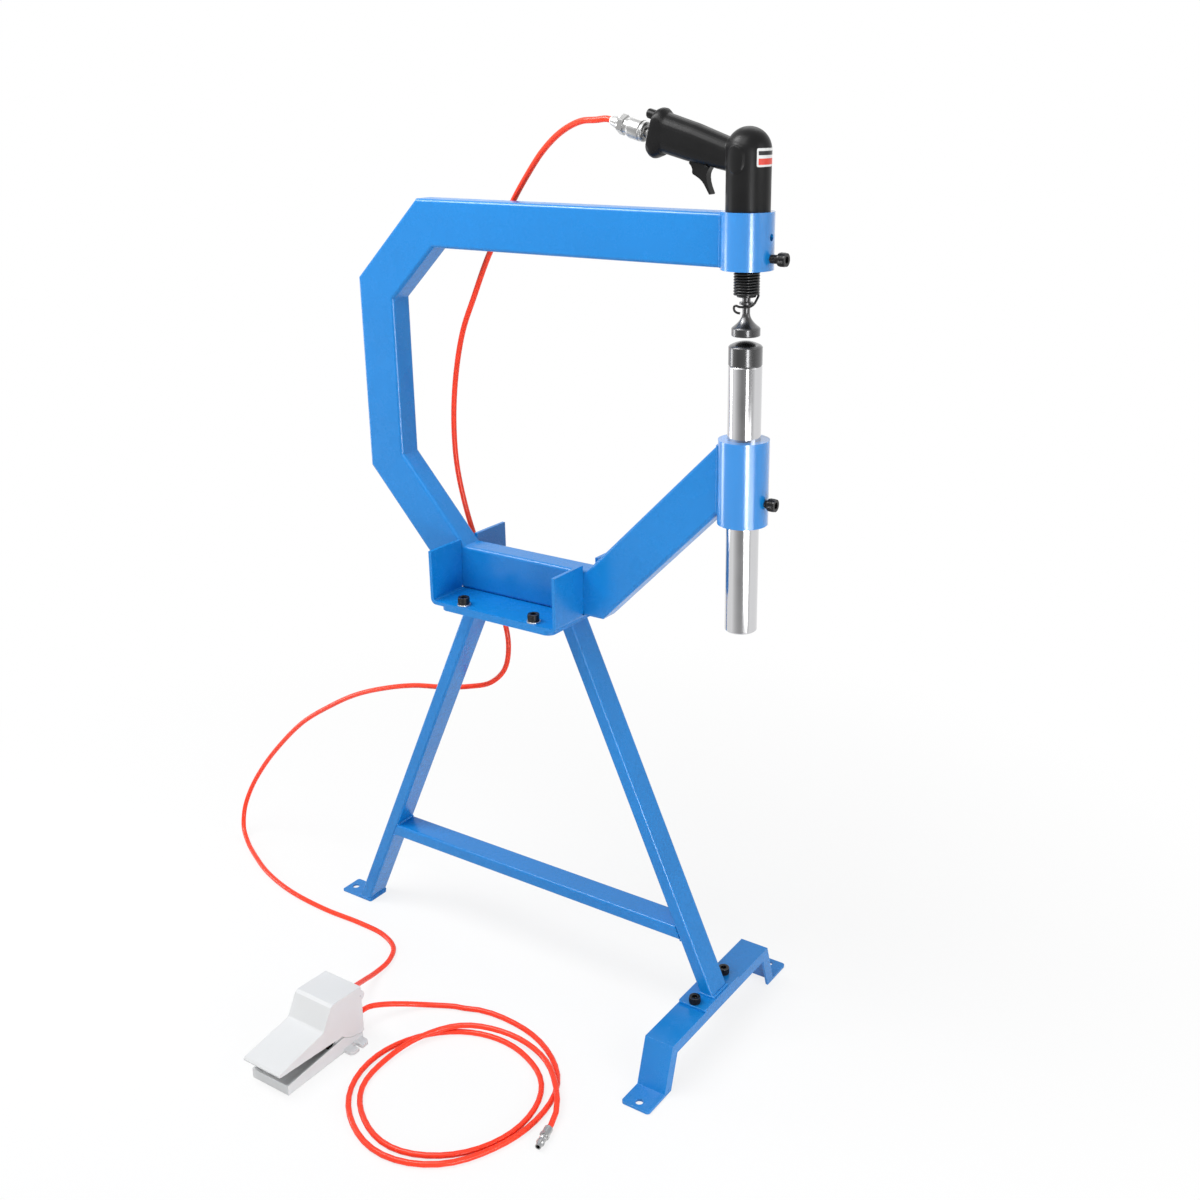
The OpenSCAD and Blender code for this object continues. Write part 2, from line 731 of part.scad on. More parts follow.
module hammer_die() {
    neck_r = 0.92 * shank_r;
    flare_h = min(17, flange_z - die_top - 8);
    die_r = die_d / 2;
    flare_end = 0.92 * die_r;
    flare = [for (a = [0 : 0.1 : 1])
        [neck_r + (flare_end - neck_r) * (1 - a) * (1 - a), die_top + 0.5 + flare_h * a]];
    color(bright_steel) translate([tool_x, 0, 0]) rotate_extrude() polygon(concat(
        [[0, shank_top], [0, die_bottom], [die_r - 1, die_bottom], [die_r, die_bottom + 1],
            [die_r, die_top - 1], [die_r - 1, die_top]],
        flare,
        [[neck_r, flange_z - 6], [shank_r, flange_z - 3], [shank_r, flange_z], [flange_r, flange_z],
            [flange_r, flange_z + flange_t], [shank_r, flange_z + flange_t], [shank_r, shank_top - 1],
            [shank_r - 1, shank_top]]));
}

// Trigger outline in the grip's axes
module trigger() {
    finger = [[46, 21], [47.6, 25], [48.1, 29], [47.2, 33.5], [45.2, 38], [42.4, 42.4], [36.9, 49.3],
        [37.2, 50.8], [38.6, 51]];
    back = [[43, 46.8], [48.2, 42], [52, 39.2], [57, 37], [62, 35.7], [66.5, 34.8], [68, 33], [68.8, 29.4],
        [71.2, 26.4]];
    color(screw_black) in_grip() difference() {
        upright(trigger_w) {
            polygon(concat(finger, back, [[75, 24], [75, 20], [53, 16.5], [50, 15.8], [46.5, 16],
                [44.8, 18]]));
        }
        translate([trigger_pivot[0], 0, trigger_pivot[1]]) rotate([90, 0, 0])
            cylinder(h = trigger_w + 2 * cut, r = trigger_pin_d / 2 + slip, center = true);
    }
}

module trigger_pin() {
    color(bright_steel) in_grip() translate([trigger_pivot[0], 0, trigger_pivot[1]]) rotate([90, 0, 0])
        cylinder(h = grip_w - 4, r = trigger_pin_d / 2, center = true);
}

module throttle_valve() {
    stem_end = 18;
    color(bright_steel) in_grip() translate([valve_u, 0, 0]) {
        translate([0, 0, 8]) cylinder(h = stem_end - 8, r = 1.5);
        cylinder(h = 8, r = 4);
    }
}

module regulator_knob() {
    ridges = 12;
    color(tool_black) in_grip() translate([grip_l, 0, inlet_offset - 22.5]) rotate([0, 90, 0]) {
        translate([0, 0, -10]) cylinder(h = 10 + seat_gap, r = 4);
        translate([0, 0, seat_gap]) rotate_extrude() polygon(concat([[0, 0]],
            [for (a = [-90 : 15 : 0]) [knob_d / 2 - 1.5 + 1.5 * cos(a), 1.5 + 1.5 * sin(a)]],
            [for (a = [0 : 15 : 90]) [knob_d / 2 - 3 + 3 * cos(a), knob_l - 3 + 3 * sin(a)]],
            [[0, knob_l]]));
    }
}

// Along the coupler's axis: X from the grip's end face towards the hose
module on_inlet(u) {
    in_grip() translate([grip_l + u, 0, inlet_offset]) rotate([0, 90, 0]) children();
}

// Plug of the quick coupler, from its thread's end to its mouth
function plug_profile(neck) = [[0, 0], [5.5, 0], [5.5, 5], [4.6, 6.5], [4.6, 9], [5.8, 10.5],
    [5.8, 14], [4.2, 16], [4.2, neck], [0, neck]];

plug_thread = 14;
plug_hex = 6;
plug_neck = 25;
plug_bore_r = 2.8;
module inlet_plug() {
    color(bright_steel) difference() {
        union() {
            on_inlet(-plug_thread) cylinder(h = plug_thread, r = 6.4);
            on_inlet(0) cylinder(h = plug_hex, d = 16 / cos(30), $fn = 6);
            on_inlet(plug_hex) rotate_extrude() polygon(plug_profile(plug_neck));
        }
        on_inlet(-plug_thread - cut)
            cylinder(h = plug_thread + plug_hex + plug_neck + 2 * cut, r = plug_bore_r);
    }
}

coupler_start = 11;
sleeve_start = 12;
coupler_l = 38;
module coupler_body() {
    color(bright_steel) difference() {
        union() {
            on_inlet(coupler_start) cylinder(h = coupler_l, r = 10);
            on_inlet(sleeve_start + sleeve_l + 6) cylinder(h = 7, d = 22 / cos(30), $fn = 6);
        }
        on_inlet(coupler_start - cut) cylinder(h = 22, r = 6.1);
        on_inlet(coupler_start) cylinder(h = coupler_l + cut, r = 3);
    }
}

module coupler_sleeve() {
    color(bright_steel) difference() {
        on_inlet(sleeve_start) rotate_extrude() polygon([[0, 0], [sleeve_d / 2 - 1.5, 0],
            [sleeve_d / 2 - 0.5, 1], [sleeve_d / 2 - 0.5, 3], [sleeve_d / 2 - 1.2, 3.6],
            [sleeve_d / 2 - 1.2, 5], [sleeve_d / 2, 6], [sleeve_d / 2, sleeve_l - 4],
            [sleeve_d / 2 - 1.5, sleeve_l], [0, sleeve_l]]);
        on_inlet(sleeve_start - cut) cylinder(h = sleeve_l + 2 * cut, r = 10 + slip);
    }
}

hose_start = coupler_start + coupler_l + hose_nut_l;
hose_socket = 8;
module hose_nut() {
    color(bright_steel) difference() {
        on_inlet(coupler_start + coupler_l) rotate_extrude() polygon([[0, 0], [7.8, 0], [7.8, 5],
            [5.5, hose_nut_l], [0, hose_nut_l]]);
        on_inlet(hose_start - hose_socket) cylinder(h = hose_socket + cut, r = hose_r + slip);
        on_inlet(coupler_start + coupler_l - cut) cylinder(h = hose_nut_l, r = 2.5);
    }
}

// Clamp screw of a collar, at height z, bearing on a round of radius r
module clamp_screw(z, r) {
    l = 16;
    color(screw_black) translate([tool_x + r + seat_gap + l, 0, z]) rotate([0, 90, 0]) cap_screw(l);
}

module barrel_clamp_screw() {
    clamp_screw(upper_collar_z + clamp_screw_h, barrel_r);
}

module post_clamp_screw() {
    clamp_screw(lower_collar_z + post_screw_h, post_r);
}

module anvil_post() {
    color(bright_steel) difference() {
        translate([tool_x, 0, post_z]) rotate_extrude() polygon([[0, 0], [post_r - 1.5, 0], [post_r, 1.5],
            [post_r, post_l - 1], [post_r - 1, post_l], [0, post_l]]);
        translate([tool_x, 0, post_top - stem_l - 1]) cylinder(h = stem_l + 1 + cut, r = stem_d / 2 + slip);
    }
}

module anvil_die() {
    crown = [for (a = [0 : 0.1 : 1]) [(post_r - 2) * a, anvil_head_h - anvil_crown * a * a]];
    color(bright_steel) translate([tool_x, 0, post_top]) rotate_extrude() polygon(concat(
        [[0, -stem_l], [stem_d / 2 - 1, -stem_l], [stem_d / 2, 1 - stem_l], [stem_d / 2, 0], [post_r - 1, 0],
            [post_r, 1], [post_r, anvil_head_h - anvil_crown - 2]],
        [for (i = [len(crown) - 1 : -1 : 0]) crown[i]]));
}

// Sweeps a round tube of n sides along a list of points, turning the ring as little as it can
function unit(v) = v / norm(v);
function tangent(p, i) = unit(p[min(i + 1, len(p) - 1)] - p[max(i - 1, 0)]);
function carried(v, t) = unit(v - (v * t) * t);
function any_side(t) = carried(abs(t[2]) < 0.9 ? [0, 0, 1] : [1, 0, 0], t);
function sides(p) = [for (i = 0, v = any_side(tangent(p, 0)); i < len(p); i = i + 1,
    v = i < len(p) ? carried(v, tangent(p, i)) : v) v];

module tube_along(p, r, n) {
    side = sides(p);
    count = len(p);
    ring = [for (i = [0 : count - 1], k = [0 : n - 1])
        let (t = tangent(p, i), a = 360 * k / n) p[i] + r * (cos(a) * side[i] + sin(a) * cross(t, side[i]))];
    body = [for (i = [0 : count - 2], k = [0 : n - 1])
        let (a = i * n + k, b = i * n + (k + 1) % n) each [[a, a + n, b], [b, a + n, b + n]]];
    low = [for (k = [1 : n - 2]) [0, k, k + 1]];
    high = [for (k = [1 : n - 2]) let (e = (count - 1) * n) [e, e + k + 1, e + k]];
    polyhedron(points = ring, faces = concat(body, low, high), convexity = 10);
}

// Least distance between two stretches of one wire, from surface to surface; skip leaves out neighbours
function self_gap(p, d, skip) = min([for (i = [0 : len(p) - 1], j = [i + skip : 1 : len(p) - 1])
    norm(p[i] - p[j])]) - d;

// Retainer spring: even coils and a tail that passes in front of the shank, below the die's flange
tail_turn = 33;
spring_coil = [for (i = [0 : spring_steps * spring_turns])
    let (a = tail_turn + 360 * (spring_turns - i / spring_steps))
    [tool_x + spring_r * cos(a), spring_r * sin(a), spring_top - i / spring_steps * spring_pitch]];
tail = [[13.4, -5.5, -1.6], [11.6, -8.2, -4.4], [9.4, -9.6, -8], [6.2, -9.3, -11.2], [2, -8.4, -12.9],
    [-4, -7.9, -13], [-9.5, -7.2, -12.7], [-12.6, -5.8, -11.6], [-14.8, -4.8, -12.6], [-15.2, -4.6, -15.5],
    [-14, -4.6, -18.4], [-11.2, -4.8, -20.2], [-7.7, -5.2, -20.9]];
spring_tail = [for (q = tail) [tool_x + q[0] * cos(tail_turn) - q[1] * sin(tail_turn),
    q[0] * sin(tail_turn) + q[1] * cos(tail_turn), spring_low + q[2]]];

module retainer_spring() {
    wire = concat(spring_coil, spring_tail);
    echo(spring_gap = self_gap(wire, spring_wire_d, 6));
    color(screw_black) tube_along(wire, spring_wire_d / 2, 6);
}

// Where the coupler lets the hose out, and the direction in which it leaves
hose_way = [-cos(grip_tilt), 0, sin(grip_tilt)];
hose_exit = [tool_x, 0, grip_z] + (grip_l + hose_start) * hose_way
    - inlet_offset * [sin(grip_tilt), 0, cos(grip_tilt)];

// Route of the hose from the coupler down behind the frame and over the floor to the foot valve
hammer_route = [[-176, 1, 1275], [-204, 6, 1275], [-240, 14, 1261], [-276, 22, 1234], [-307, 28, 1201],
    [-334, 31, 1168], [-360, 34, 1128], [-386, 36, 1090], [-418, 40, 1032], [-446, 45, 980], [-468, 51, 915],
    [-481, 56, 845], [-483, 60, 775], [-473, 63, 712], [-455, 64, 655], [-430, 64, 596], [-408, 63, 545],
    [-397, 60, 500], [-403, 56, 460], [-428, 51, 433], [-468, 45, 419], [-515, 39, 409], [-575, 35, 399],
    [-640, 34, 379], [-709, 36, 350], [-780, 39, 309], [-850, 41, 261], [-915, 42, 200], [-965, 41, 143],
    [-1000, 37, 90], [-1014, 29, 48], [-1006, 16, 19], [-980, 0, 6], [-935, -24, 4], [-870, -53, 4],
    [-790, -74, 4], [-700, -82, 4], [-620, -80, 4], [-565, -84, 4], [-526, -102, 4], [-507, -134, 5],
    [-499, -170, 9], [-489, -204, 20], [-476, -238, 34]];

// Route of the supply hose from the foot valve to its coil on the floor
supply_route = [[-433, -252, 24], [-424, -232, 19], [-406, -208, 12], [-382, -184, 5]];
// Loops of the supply hose: distance from the coil's centre and lift off the floor, at every 30 degrees
coil_centre = [-235, -300];
coil_start = 124;
loop_r = [170, 154, 147, 146, 139, 138, 146, 148, 142, 138, 131, 122, 116, 113, 115, 124, 127, 129, 131,
    132, 126, 123, 114, 114, 117, 119, 128, 141, 163];
loop_lift = [0, 0, 0, 0, 0, 0, 0, 0, 0, 0, 0, 0, 0, 0, 0, 0, 0, 0, 0, 0, 0, 0, 1, 5, 10, 10, 9, 12, 3];
function blend4(a, b, c, d, f) = b + f * (c - a) / 2 + f * f * (a - 2.5 * b + 2 * c - d / 2)
    + f * f * f * (1.5 * (b - c) + (d - a) / 2);
function sampled(v, x) = let (i = floor(x), m = len(v) - 1) blend4(v[max(i - 1, 0)], v[i], v[min(i + 1, m)],
    v[min(i + 2, m)], x - i);
loop_steps = 2;
coil_route = [for (i = [0 : loop_steps * (len(loop_r) - 1)]) let (
    x = i / loop_steps, a = coil_start - 30 * x, r = sampled(loop_r, x))
    [coil_centre[0] + r * cos(a), coil_centre[1] + r * sin(a), hose_r + max(0, sampled(loop_lift, x))]];

// Straight leads at both ends of the coil
function level(v) = unit([v[0], v[1], 0]);
coil_last = coil_route[len(coil_route) - 1];
lead_way = level(coil_route[1] - coil_route[0]);
plug_bend = 12;
function turned(v, a) = [v[0] * cos(a) - v[1] * sin(a), v[0] * sin(a) + v[1] * cos(a), 0];
plug_way = turned(level(coil_last - coil_route[len(coil_route) - 2]), -plug_bend);
coil_lead = [coil_route[0] - hose_d * lead_way];
coil_end = coil_last + hose_d * plug_way;

module hammer_hose() {
    port = [-pedal_x + ports[0][0], -pedal_rear_y + fitting_out, ports[0][1]];
    color(hose_red) tube_along(concat([hose_exit - hose_socket * hose_way, hose_exit + hose_d * hose_way],
        hammer_route, [port + [0, hose_d, 0], port - [0, fitting_socket, 0]]), hose_r, 8);
}

module supply_hose() {
    port = [-pedal_x + ports[1][0], -pedal_rear_y + fitting_out, ports[1][1]];
    color(hose_red) tube_along(concat([port - [0, fitting_socket, 0], port + [0, hose_d, 0]],
        supply_route, [coil_lead[0] - hose_d * lead_way, coil_lead[0]]), hose_r, 8);
}

module supply_hose_coil() {
    echo(coil_gap = self_gap(coil_route, hose_d, 12));
    color(hose_red) tube_along(concat(coil_lead, coil_route, [coil_end]), hose_r, 6);
}

// Plug on the free end of the supply hose, lying on the floor in line with the hose
module supply_plug() {
    turn = atan2(plug_way[1], plug_way[0]);
    color(bright_steel) translate(coil_end) rotate([0, 0, turn]) rotate([0, 90, 0]) difference() {
        union() {
            cylinder(h = 11, r = 6);
            translate([0, 0, 11]) cylinder(h = 5, d = 12 / cos(30), $fn = 6);
            translate([0, 0, 16]) rotate_extrude() polygon([[0, 0], [5.5, 0], [5.5, 4], [4.6, 5.5], [4.6, 8],
                [5.8, 9.5], [5.8, 12], [4.2, 14], [4.2, 19], [0, 19]]);
        }
        translate([0, 0, 11]) cylinder(h = 24 + cut, r = 2.8);
    }
}

// Places a child in the foot valve's own axes: Y = 0 at its rear, -Y towards its toe
module in_pedal() {
    translate([-pedal_x, -pedal_rear_y, 0]) children();
}

// Lays an outline drawn in Y and Z across the pedal, w wide
module across(w) {
    rotate([90, 0, 90]) linear_extrude(w, center = true) children();
}

base_rear_h = 24;
module base_side_outline() {
    difference() {
        polygon([[-pedal_l, 0], [-pedal_l, base_lip_h], [pivot_y - 38, base_rear_h], [0, base_rear_h],
            [0, 0]]);
        translate([pivot_y, pivot_h]) circle(skirt_r + treadle_gap, $fn = 128);
    }
}

fitting_out = 9;
fitting_socket = 5;
valve_block_w = 42;
box_l = 62;
box_h = pivot_h - 11;
module pedal_base() {
    inner_w = pedal_w - 2 * (shell_t + treadle_gap);
    color(pedal_grey) in_pedal() difference() {
        union() {
            // Front trough, as wide as the treadle's skirts
            difference() {
                across(pedal_w) base_side_outline();
                translate([-pedal_w / 2 + shell_t, -pedal_l + shell_t, shell_t + 1])
                    cube([pedal_w - 2 * shell_t, pedal_l + cut, base_lip_h + 20]);
            }
            // Rear box between the skirts
            difference() {
                across(inner_w) polygon([[-box_l, 0], [-box_l, base_lip_h - 3], [-box_l / 2, pivot_h - 25],
                    [-14, box_h], [0, box_h], [0, 0]]);
                across(inner_w - 2 * shell_t) polygon([[-pedal_l, shell_t + 1], [-pedal_l, pivot_h],
                    [-shell_t, pivot_h], [-shell_t, shell_t + 1]]);
            }
            // Lugs for the pivot pin
            for (s = [-1, 1]) translate([s * (inner_w / 2 - 2.5), 0, 0]) across(5) {
                translate([pivot_y, pivot_h]) circle(boss_r - 1);
                translate([-boss_r, box_h - 10]) square([boss_r, pivot_h - box_h + 10]);
            }
            // Slotted ears on both sides
            for (s = [-1, 1]) translate([s * (pedal_w / 2 + 3), -21, 0]) linear_extrude(5) difference() {
                rounded_rect(26, 36, 7);
                translate([s * 2, 0]) circle(3);
                translate([s > 0 ? 2 : -22, -3]) square([20, 6]);
            }
        }
        for (p = ports) translate([p[0], cut, p[1]])
            rotate([90, 0, 0]) cylinder(h = shell_t + 2 * cut, r = port_r + slip);
        translate([0, pivot_y, pivot_h])
            rotate([0, 90, 0]) cylinder(h = pedal_w, r = 1.5 + slip, center = true);
    }
}

// The treadle: its hood over the pivot, its step and its toe, which stands past the base
hood_l = 52;
toe_y = -pedal_l - 13;
function treadle_top() = [[3, hood_h - 3], [-hood_l, hood_h], [-hood_l - 5, hood_h - 3],
    [-hood_l - 20, step_h + 2], [-hood_l - 24, step_h - 1], [toe_y + 3, toe_h + 1],
    [toe_y, toe_h - 1.5], [toe_y + 0.5, toe_h - 4], [toe_y + 4, toe_h - 5]];
// Lower edge of the skirts: from the toe to the crevice's end, then an arc about the pivot
skirt_arc = [for (a = [-133 : 4 : -91]) [pivot_y + skirt_r * cos(a), pivot_h + skirt_r * sin(a)]];

module treadle_outline() {
    polygon(concat(treadle_top(), skirt_arc, [[3, pivot_h - skirt_r + 0.3]]));
}

module pedal_treadle() {
    inner_w = pedal_w - 2 * shell_t;
    color(pedal_grey) in_pedal() difference() {
        union() {
            difference() {
                union() {
                    across(pedal_w) treadle_outline();
                    for (s = [-1, 1]) translate([s * (pedal_w - shell_t) / 2, 0, 0]) across(shell_t)
                        translate([pivot_y + 1, pivot_h]) circle(boss_r);
                }
                across(inner_w) polygon([[12, hood_h - 3 - shell_t], [1 - hood_l, hood_h - shell_t],
                    [-2 - hood_l, hood_h - 2 * shell_t], [-hood_l - 7 * shell_t, step_h - 1],
                    [-hood_l - 23, step_h - 1.6 * shell_t], [toe_y + 6, toe_h - shell_t], [toe_y + 6, 0],
                    [12, 0]]);
            }
            // Boss that pushes the spool
            translate([0, spool_y, spool_top + seat_gap])
                cylinder(h = hood_h - shell_t - spool_top - seat_gap + cut, r = 4);
        }
        translate([0, pivot_y, pivot_h]) rotate([0, 90, 0])
            cylinder(h = pedal_w + cut, r = 1.5 + slip, center = true);
    }
}

module pedal_pivot_pin() {
    color(zinc_grey) in_pedal() translate([0, pivot_y, pivot_h]) rotate([0, 90, 0])
        cylinder(h = pedal_w - 0.6, r = 1.5, center = true);
}

spool_y = -38;
spool_top = 55;
spool_bottom = 12;
valve_block_h = 46;
module pedal_valve_body() {
    color(zinc_grey) in_pedal() difference() {
        translate([-valve_block_w / 2, -50, shell_t + 1]) cube([valve_block_w, 50 - shell_t, valve_block_h]);
        translate([0, spool_y, spool_bottom - 5]) cylinder(h = valve_block_h, r = 4 + slip);
    }
}

module pedal_spool() {
    color(bright_steel) in_pedal() translate([0, spool_y, spool_bottom]) {
        cylinder(h = spool_top - spool_bottom - 6, r = 4);
        cylinder(h = spool_top - spool_bottom, r = 2.5);
    }
}

module pedal_fittings() {
    color(bright_steel) in_pedal() for (p = ports) translate([p[0], fitting_out, p[1]]) rotate([90, 0, 0])
        difference() {
            union() {
                cylinder(h = fitting_out, r = port_r + 1);
                cylinder(h = fitting_out + shell_t, r = port_r);
            }
            translate([0, 0, -cut]) cylinder(h = fitting_out + shell_t + 2 * cut, r = 2.6);
            translate([0, 0, -cut]) cylinder(h = fitting_socket + cut, r = hose_r + slip);
        }
}

module pedal_screws() {
    color(zinc_grey) in_pedal() for (x = [-14, 14]) translate([x, -44, shell_t + 1 + valve_block_h])
        cylinder(h = 3, r = 3.5);
}

upper_arm();
upper_chamfer_tube();
column();
lower_chamfer_tube();
base_tube();
lower_arm();
upper_collar();
lower_collar();
cradle();
stand_top_plate();
rear_leg();
front_leg();
crossbar();
front_foot_plate();
rear_foot_plate();
front_foot();
cradle_bolts();
cradle_washers();
foot_bolts();
foot_nuts();
hammer_housing();
hammer_cylinder();
valve_block();
piston();
retainer_spring();
hammer_die();
trigger();
trigger_pin();
throttle_valve();
regulator_knob();
inlet_plug();
barrel_clamp_screw();
coupler_body();
coupler_sleeve();
hose_nut();
anvil_post();
anvil_die();
post_clamp_screw();
hammer_hose();
supply_hose();
supply_hose_coil();
supply_plug();
pedal_base();
pedal_treadle();
pedal_pivot_pin();
pedal_valve_body();
pedal_spool();
pedal_fittings();
pedal_screws();
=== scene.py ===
"""Finishes a packed pneumatic planishing hammer: frame, stand, air hammer, anvil, foot valve and hoses."""

import json
import math

import bmesh
import bpy
from bpy.props import FloatProperty, FloatVectorProperty, IntProperty, PointerProperty
from mathutils import Matrix, Vector
from mathutils.bvhtree import BVHTree


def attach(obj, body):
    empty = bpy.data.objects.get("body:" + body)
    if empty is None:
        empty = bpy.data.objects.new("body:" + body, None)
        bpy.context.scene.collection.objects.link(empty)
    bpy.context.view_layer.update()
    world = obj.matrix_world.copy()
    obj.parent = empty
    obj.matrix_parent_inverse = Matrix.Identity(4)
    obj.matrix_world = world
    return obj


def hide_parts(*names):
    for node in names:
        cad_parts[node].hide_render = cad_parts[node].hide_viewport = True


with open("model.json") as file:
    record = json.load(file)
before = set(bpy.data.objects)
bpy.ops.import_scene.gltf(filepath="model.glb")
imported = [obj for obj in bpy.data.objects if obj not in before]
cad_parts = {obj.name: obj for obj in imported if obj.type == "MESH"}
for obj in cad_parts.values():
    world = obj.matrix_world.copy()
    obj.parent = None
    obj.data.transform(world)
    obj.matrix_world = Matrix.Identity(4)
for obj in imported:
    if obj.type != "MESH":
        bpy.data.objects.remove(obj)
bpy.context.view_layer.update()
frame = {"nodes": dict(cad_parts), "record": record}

NODES = frame["nodes"]
BODIES = frame["record"]["behaviour"]["bodies"]
BODY_OF = {node: body for body in BODIES for node in BODIES[body]}
MM = 0.001

bl_info = {
    "name": "Planishing hammer finish",
    "version": (1, 0, 0),
    "blender": (4, 5, 0),
    "location": "View3D > Sidebar > Planisher",
    "description": "Finishes, hoses, fasteners and studio for a pneumatic planishing hammer",
    "category": "Object",
}

# Places in the part's own frame, in millimetres
TOOL_X = 41.0
BARREL_R = 27.0
GRIP_Z = 1226.5
GRIP_TILT = math.radians(15)
CROSS_PIN = (122.0, -13.0)
TRIGGER_PIN = (49.0, 20.0)
AIR_V = 7.0
NUT_U = 185.5


def at(x, y, z):
    return Vector((x, y, z)) * MM


def in_metres(points):
    return [at(*p) for p in points]


def on_grip(u, y, v):
    """A point u along the grip from the barrel's axis, y across it and v towards the trigger."""
    return at(TOOL_X - u * math.cos(GRIP_TILT) - v * math.sin(GRIP_TILT), y,
              GRIP_Z + u * math.sin(GRIP_TILT) - v * math.cos(GRIP_TILT))


# Properties


def colour_of(name, text, default):
    return FloatVectorProperty(
        name=name, description=text, subtype="COLOR", default=default, min=0.0, max=1.0)


def amount(name, text, default, low=0.0, high=1.0, unit="NONE"):
    return FloatProperty(name=name, description=text, default=default, min=low, max=high, unit=unit)


def distance(name, text, default, low, high):
    return amount(name, text, default, low, high, "LENGTH")


def power(name, text, default):
    return amount(name, text, default, 0.0, 500.0, "POWER")


def number(name, text, default, low, high):
    return IntProperty(name=name, description=text, default=default, min=low, max=high)


class FrameFinish(bpy.types.PropertyGroup):
    paint: colour_of("Paint", "Powder coat of the frame and stand", (0.004, 0.188, 0.540))
    paint_roughness: amount("Roughness", "Roughness of the powder coat", 0.26)
    edge_round: distance("Edge rounding", "Radius left on sheared and sawn edges", 0.0007, 0.0, 0.003)
    bead_width: distance("Weld width", "Width of a weld bead", 0.005, 0.002, 0.010)
    bead_pitch: distance("Weld pitch", "Distance between ripples of a weld bead", 0.0021, 0.001, 0.005)


class ToolFinish(bpy.types.PropertyGroup):
    housing: colour_of("Housing", "Satin coat of the hammer's housing", (0.006, 0.006, 0.0063))
    steel: colour_of("Steel", "Turned and polished steel", (0.52, 0.52, 0.53))
    plating: colour_of("Plating", "Nickel plate of the air fittings", (0.60, 0.60, 0.595))
    black_oxide: colour_of("Black oxide", "Blackened steel of screws and spring", (0.006, 0.006, 0.0063))
    knurl_ridges: number("Knurl ridges", "Ridges round a screw head", 44, 12, 90)
    spring_sides: number("Spring wire sides", "Sides of the spring's wire", 12, 6, 24)


class HoseFinish(bpy.types.PropertyGroup):
    colour: colour_of("Hose", "Red of the air hoses", (0.980, 0.050, 0.016))
    diameter: distance("Diameter", "Outer diameter of the hoses", 0.008, 0.004, 0.016)
    sides: number("Sides", "Sides of the hoses' section", 20, 8, 48)


class PedalFinish(bpy.types.PropertyGroup):
    moulding: colour_of("Moulding", "Grey of the foot valve", (0.70, 0.708, 0.712))


class StageSizes(bpy.types.PropertyGroup):
    floor_radius: distance("Floor radius", "Radius of the studio floor", 14.0, 3.0, 40.0)
    key_power: power("Key lamp", "Power of the main lamp", 20.0)
    strip_power: power("Strip lamps", "Power of each strip lamp", 8.5)
    sheen_power: power("Sheen lamps", "Power of each lamp that only shows as a reflection", 20.0)
    fill_power: power("Fill lamps", "Power of the fill lamps beside the stand", 8.0)
    ambient: amount("Ambient", "Level of the studio's walls", 0.33)


# Node trees


class Tree:
    """A node tree under construction."""

    def __init__(self, tree):
        self.tree = tree

    def feed(self, socket, value):
        """Links a node or a socket to an input, or sets it to a plain value."""
        if isinstance(value, bpy.types.Node):
            value = value.outputs[0]
        if isinstance(value, bpy.types.NodeSocket):
            self.tree.links.new(value, socket)
        elif socket.type == "RGBA":
            socket.default_value = (*value, 1.0)
        else:
            socket.default_value = value

    def node(self, kind, inputs=None, **settings):
        """A node with its settings, and its inputs by name or number."""
        made = self.tree.nodes.new(kind)
        for key, value in settings.items():
            setattr(made, key, value)
        for key, value in (inputs or {}).items():
            self.feed(made.inputs[key], value)
        return made

    def math(self, operation, a, b=None, **settings):
        values = {0: a} if b is None else {0: a, 1: b}
        return self.node("ShaderNodeMath", values, operation=operation, **settings).outputs[0]


# Materials


def shade(colour, factor):
    return tuple(min(1.0, c * factor) for c in colour)


def toward(colour, other, share):
    return tuple(a + (b - a) * share for a, b in zip(colour, other))


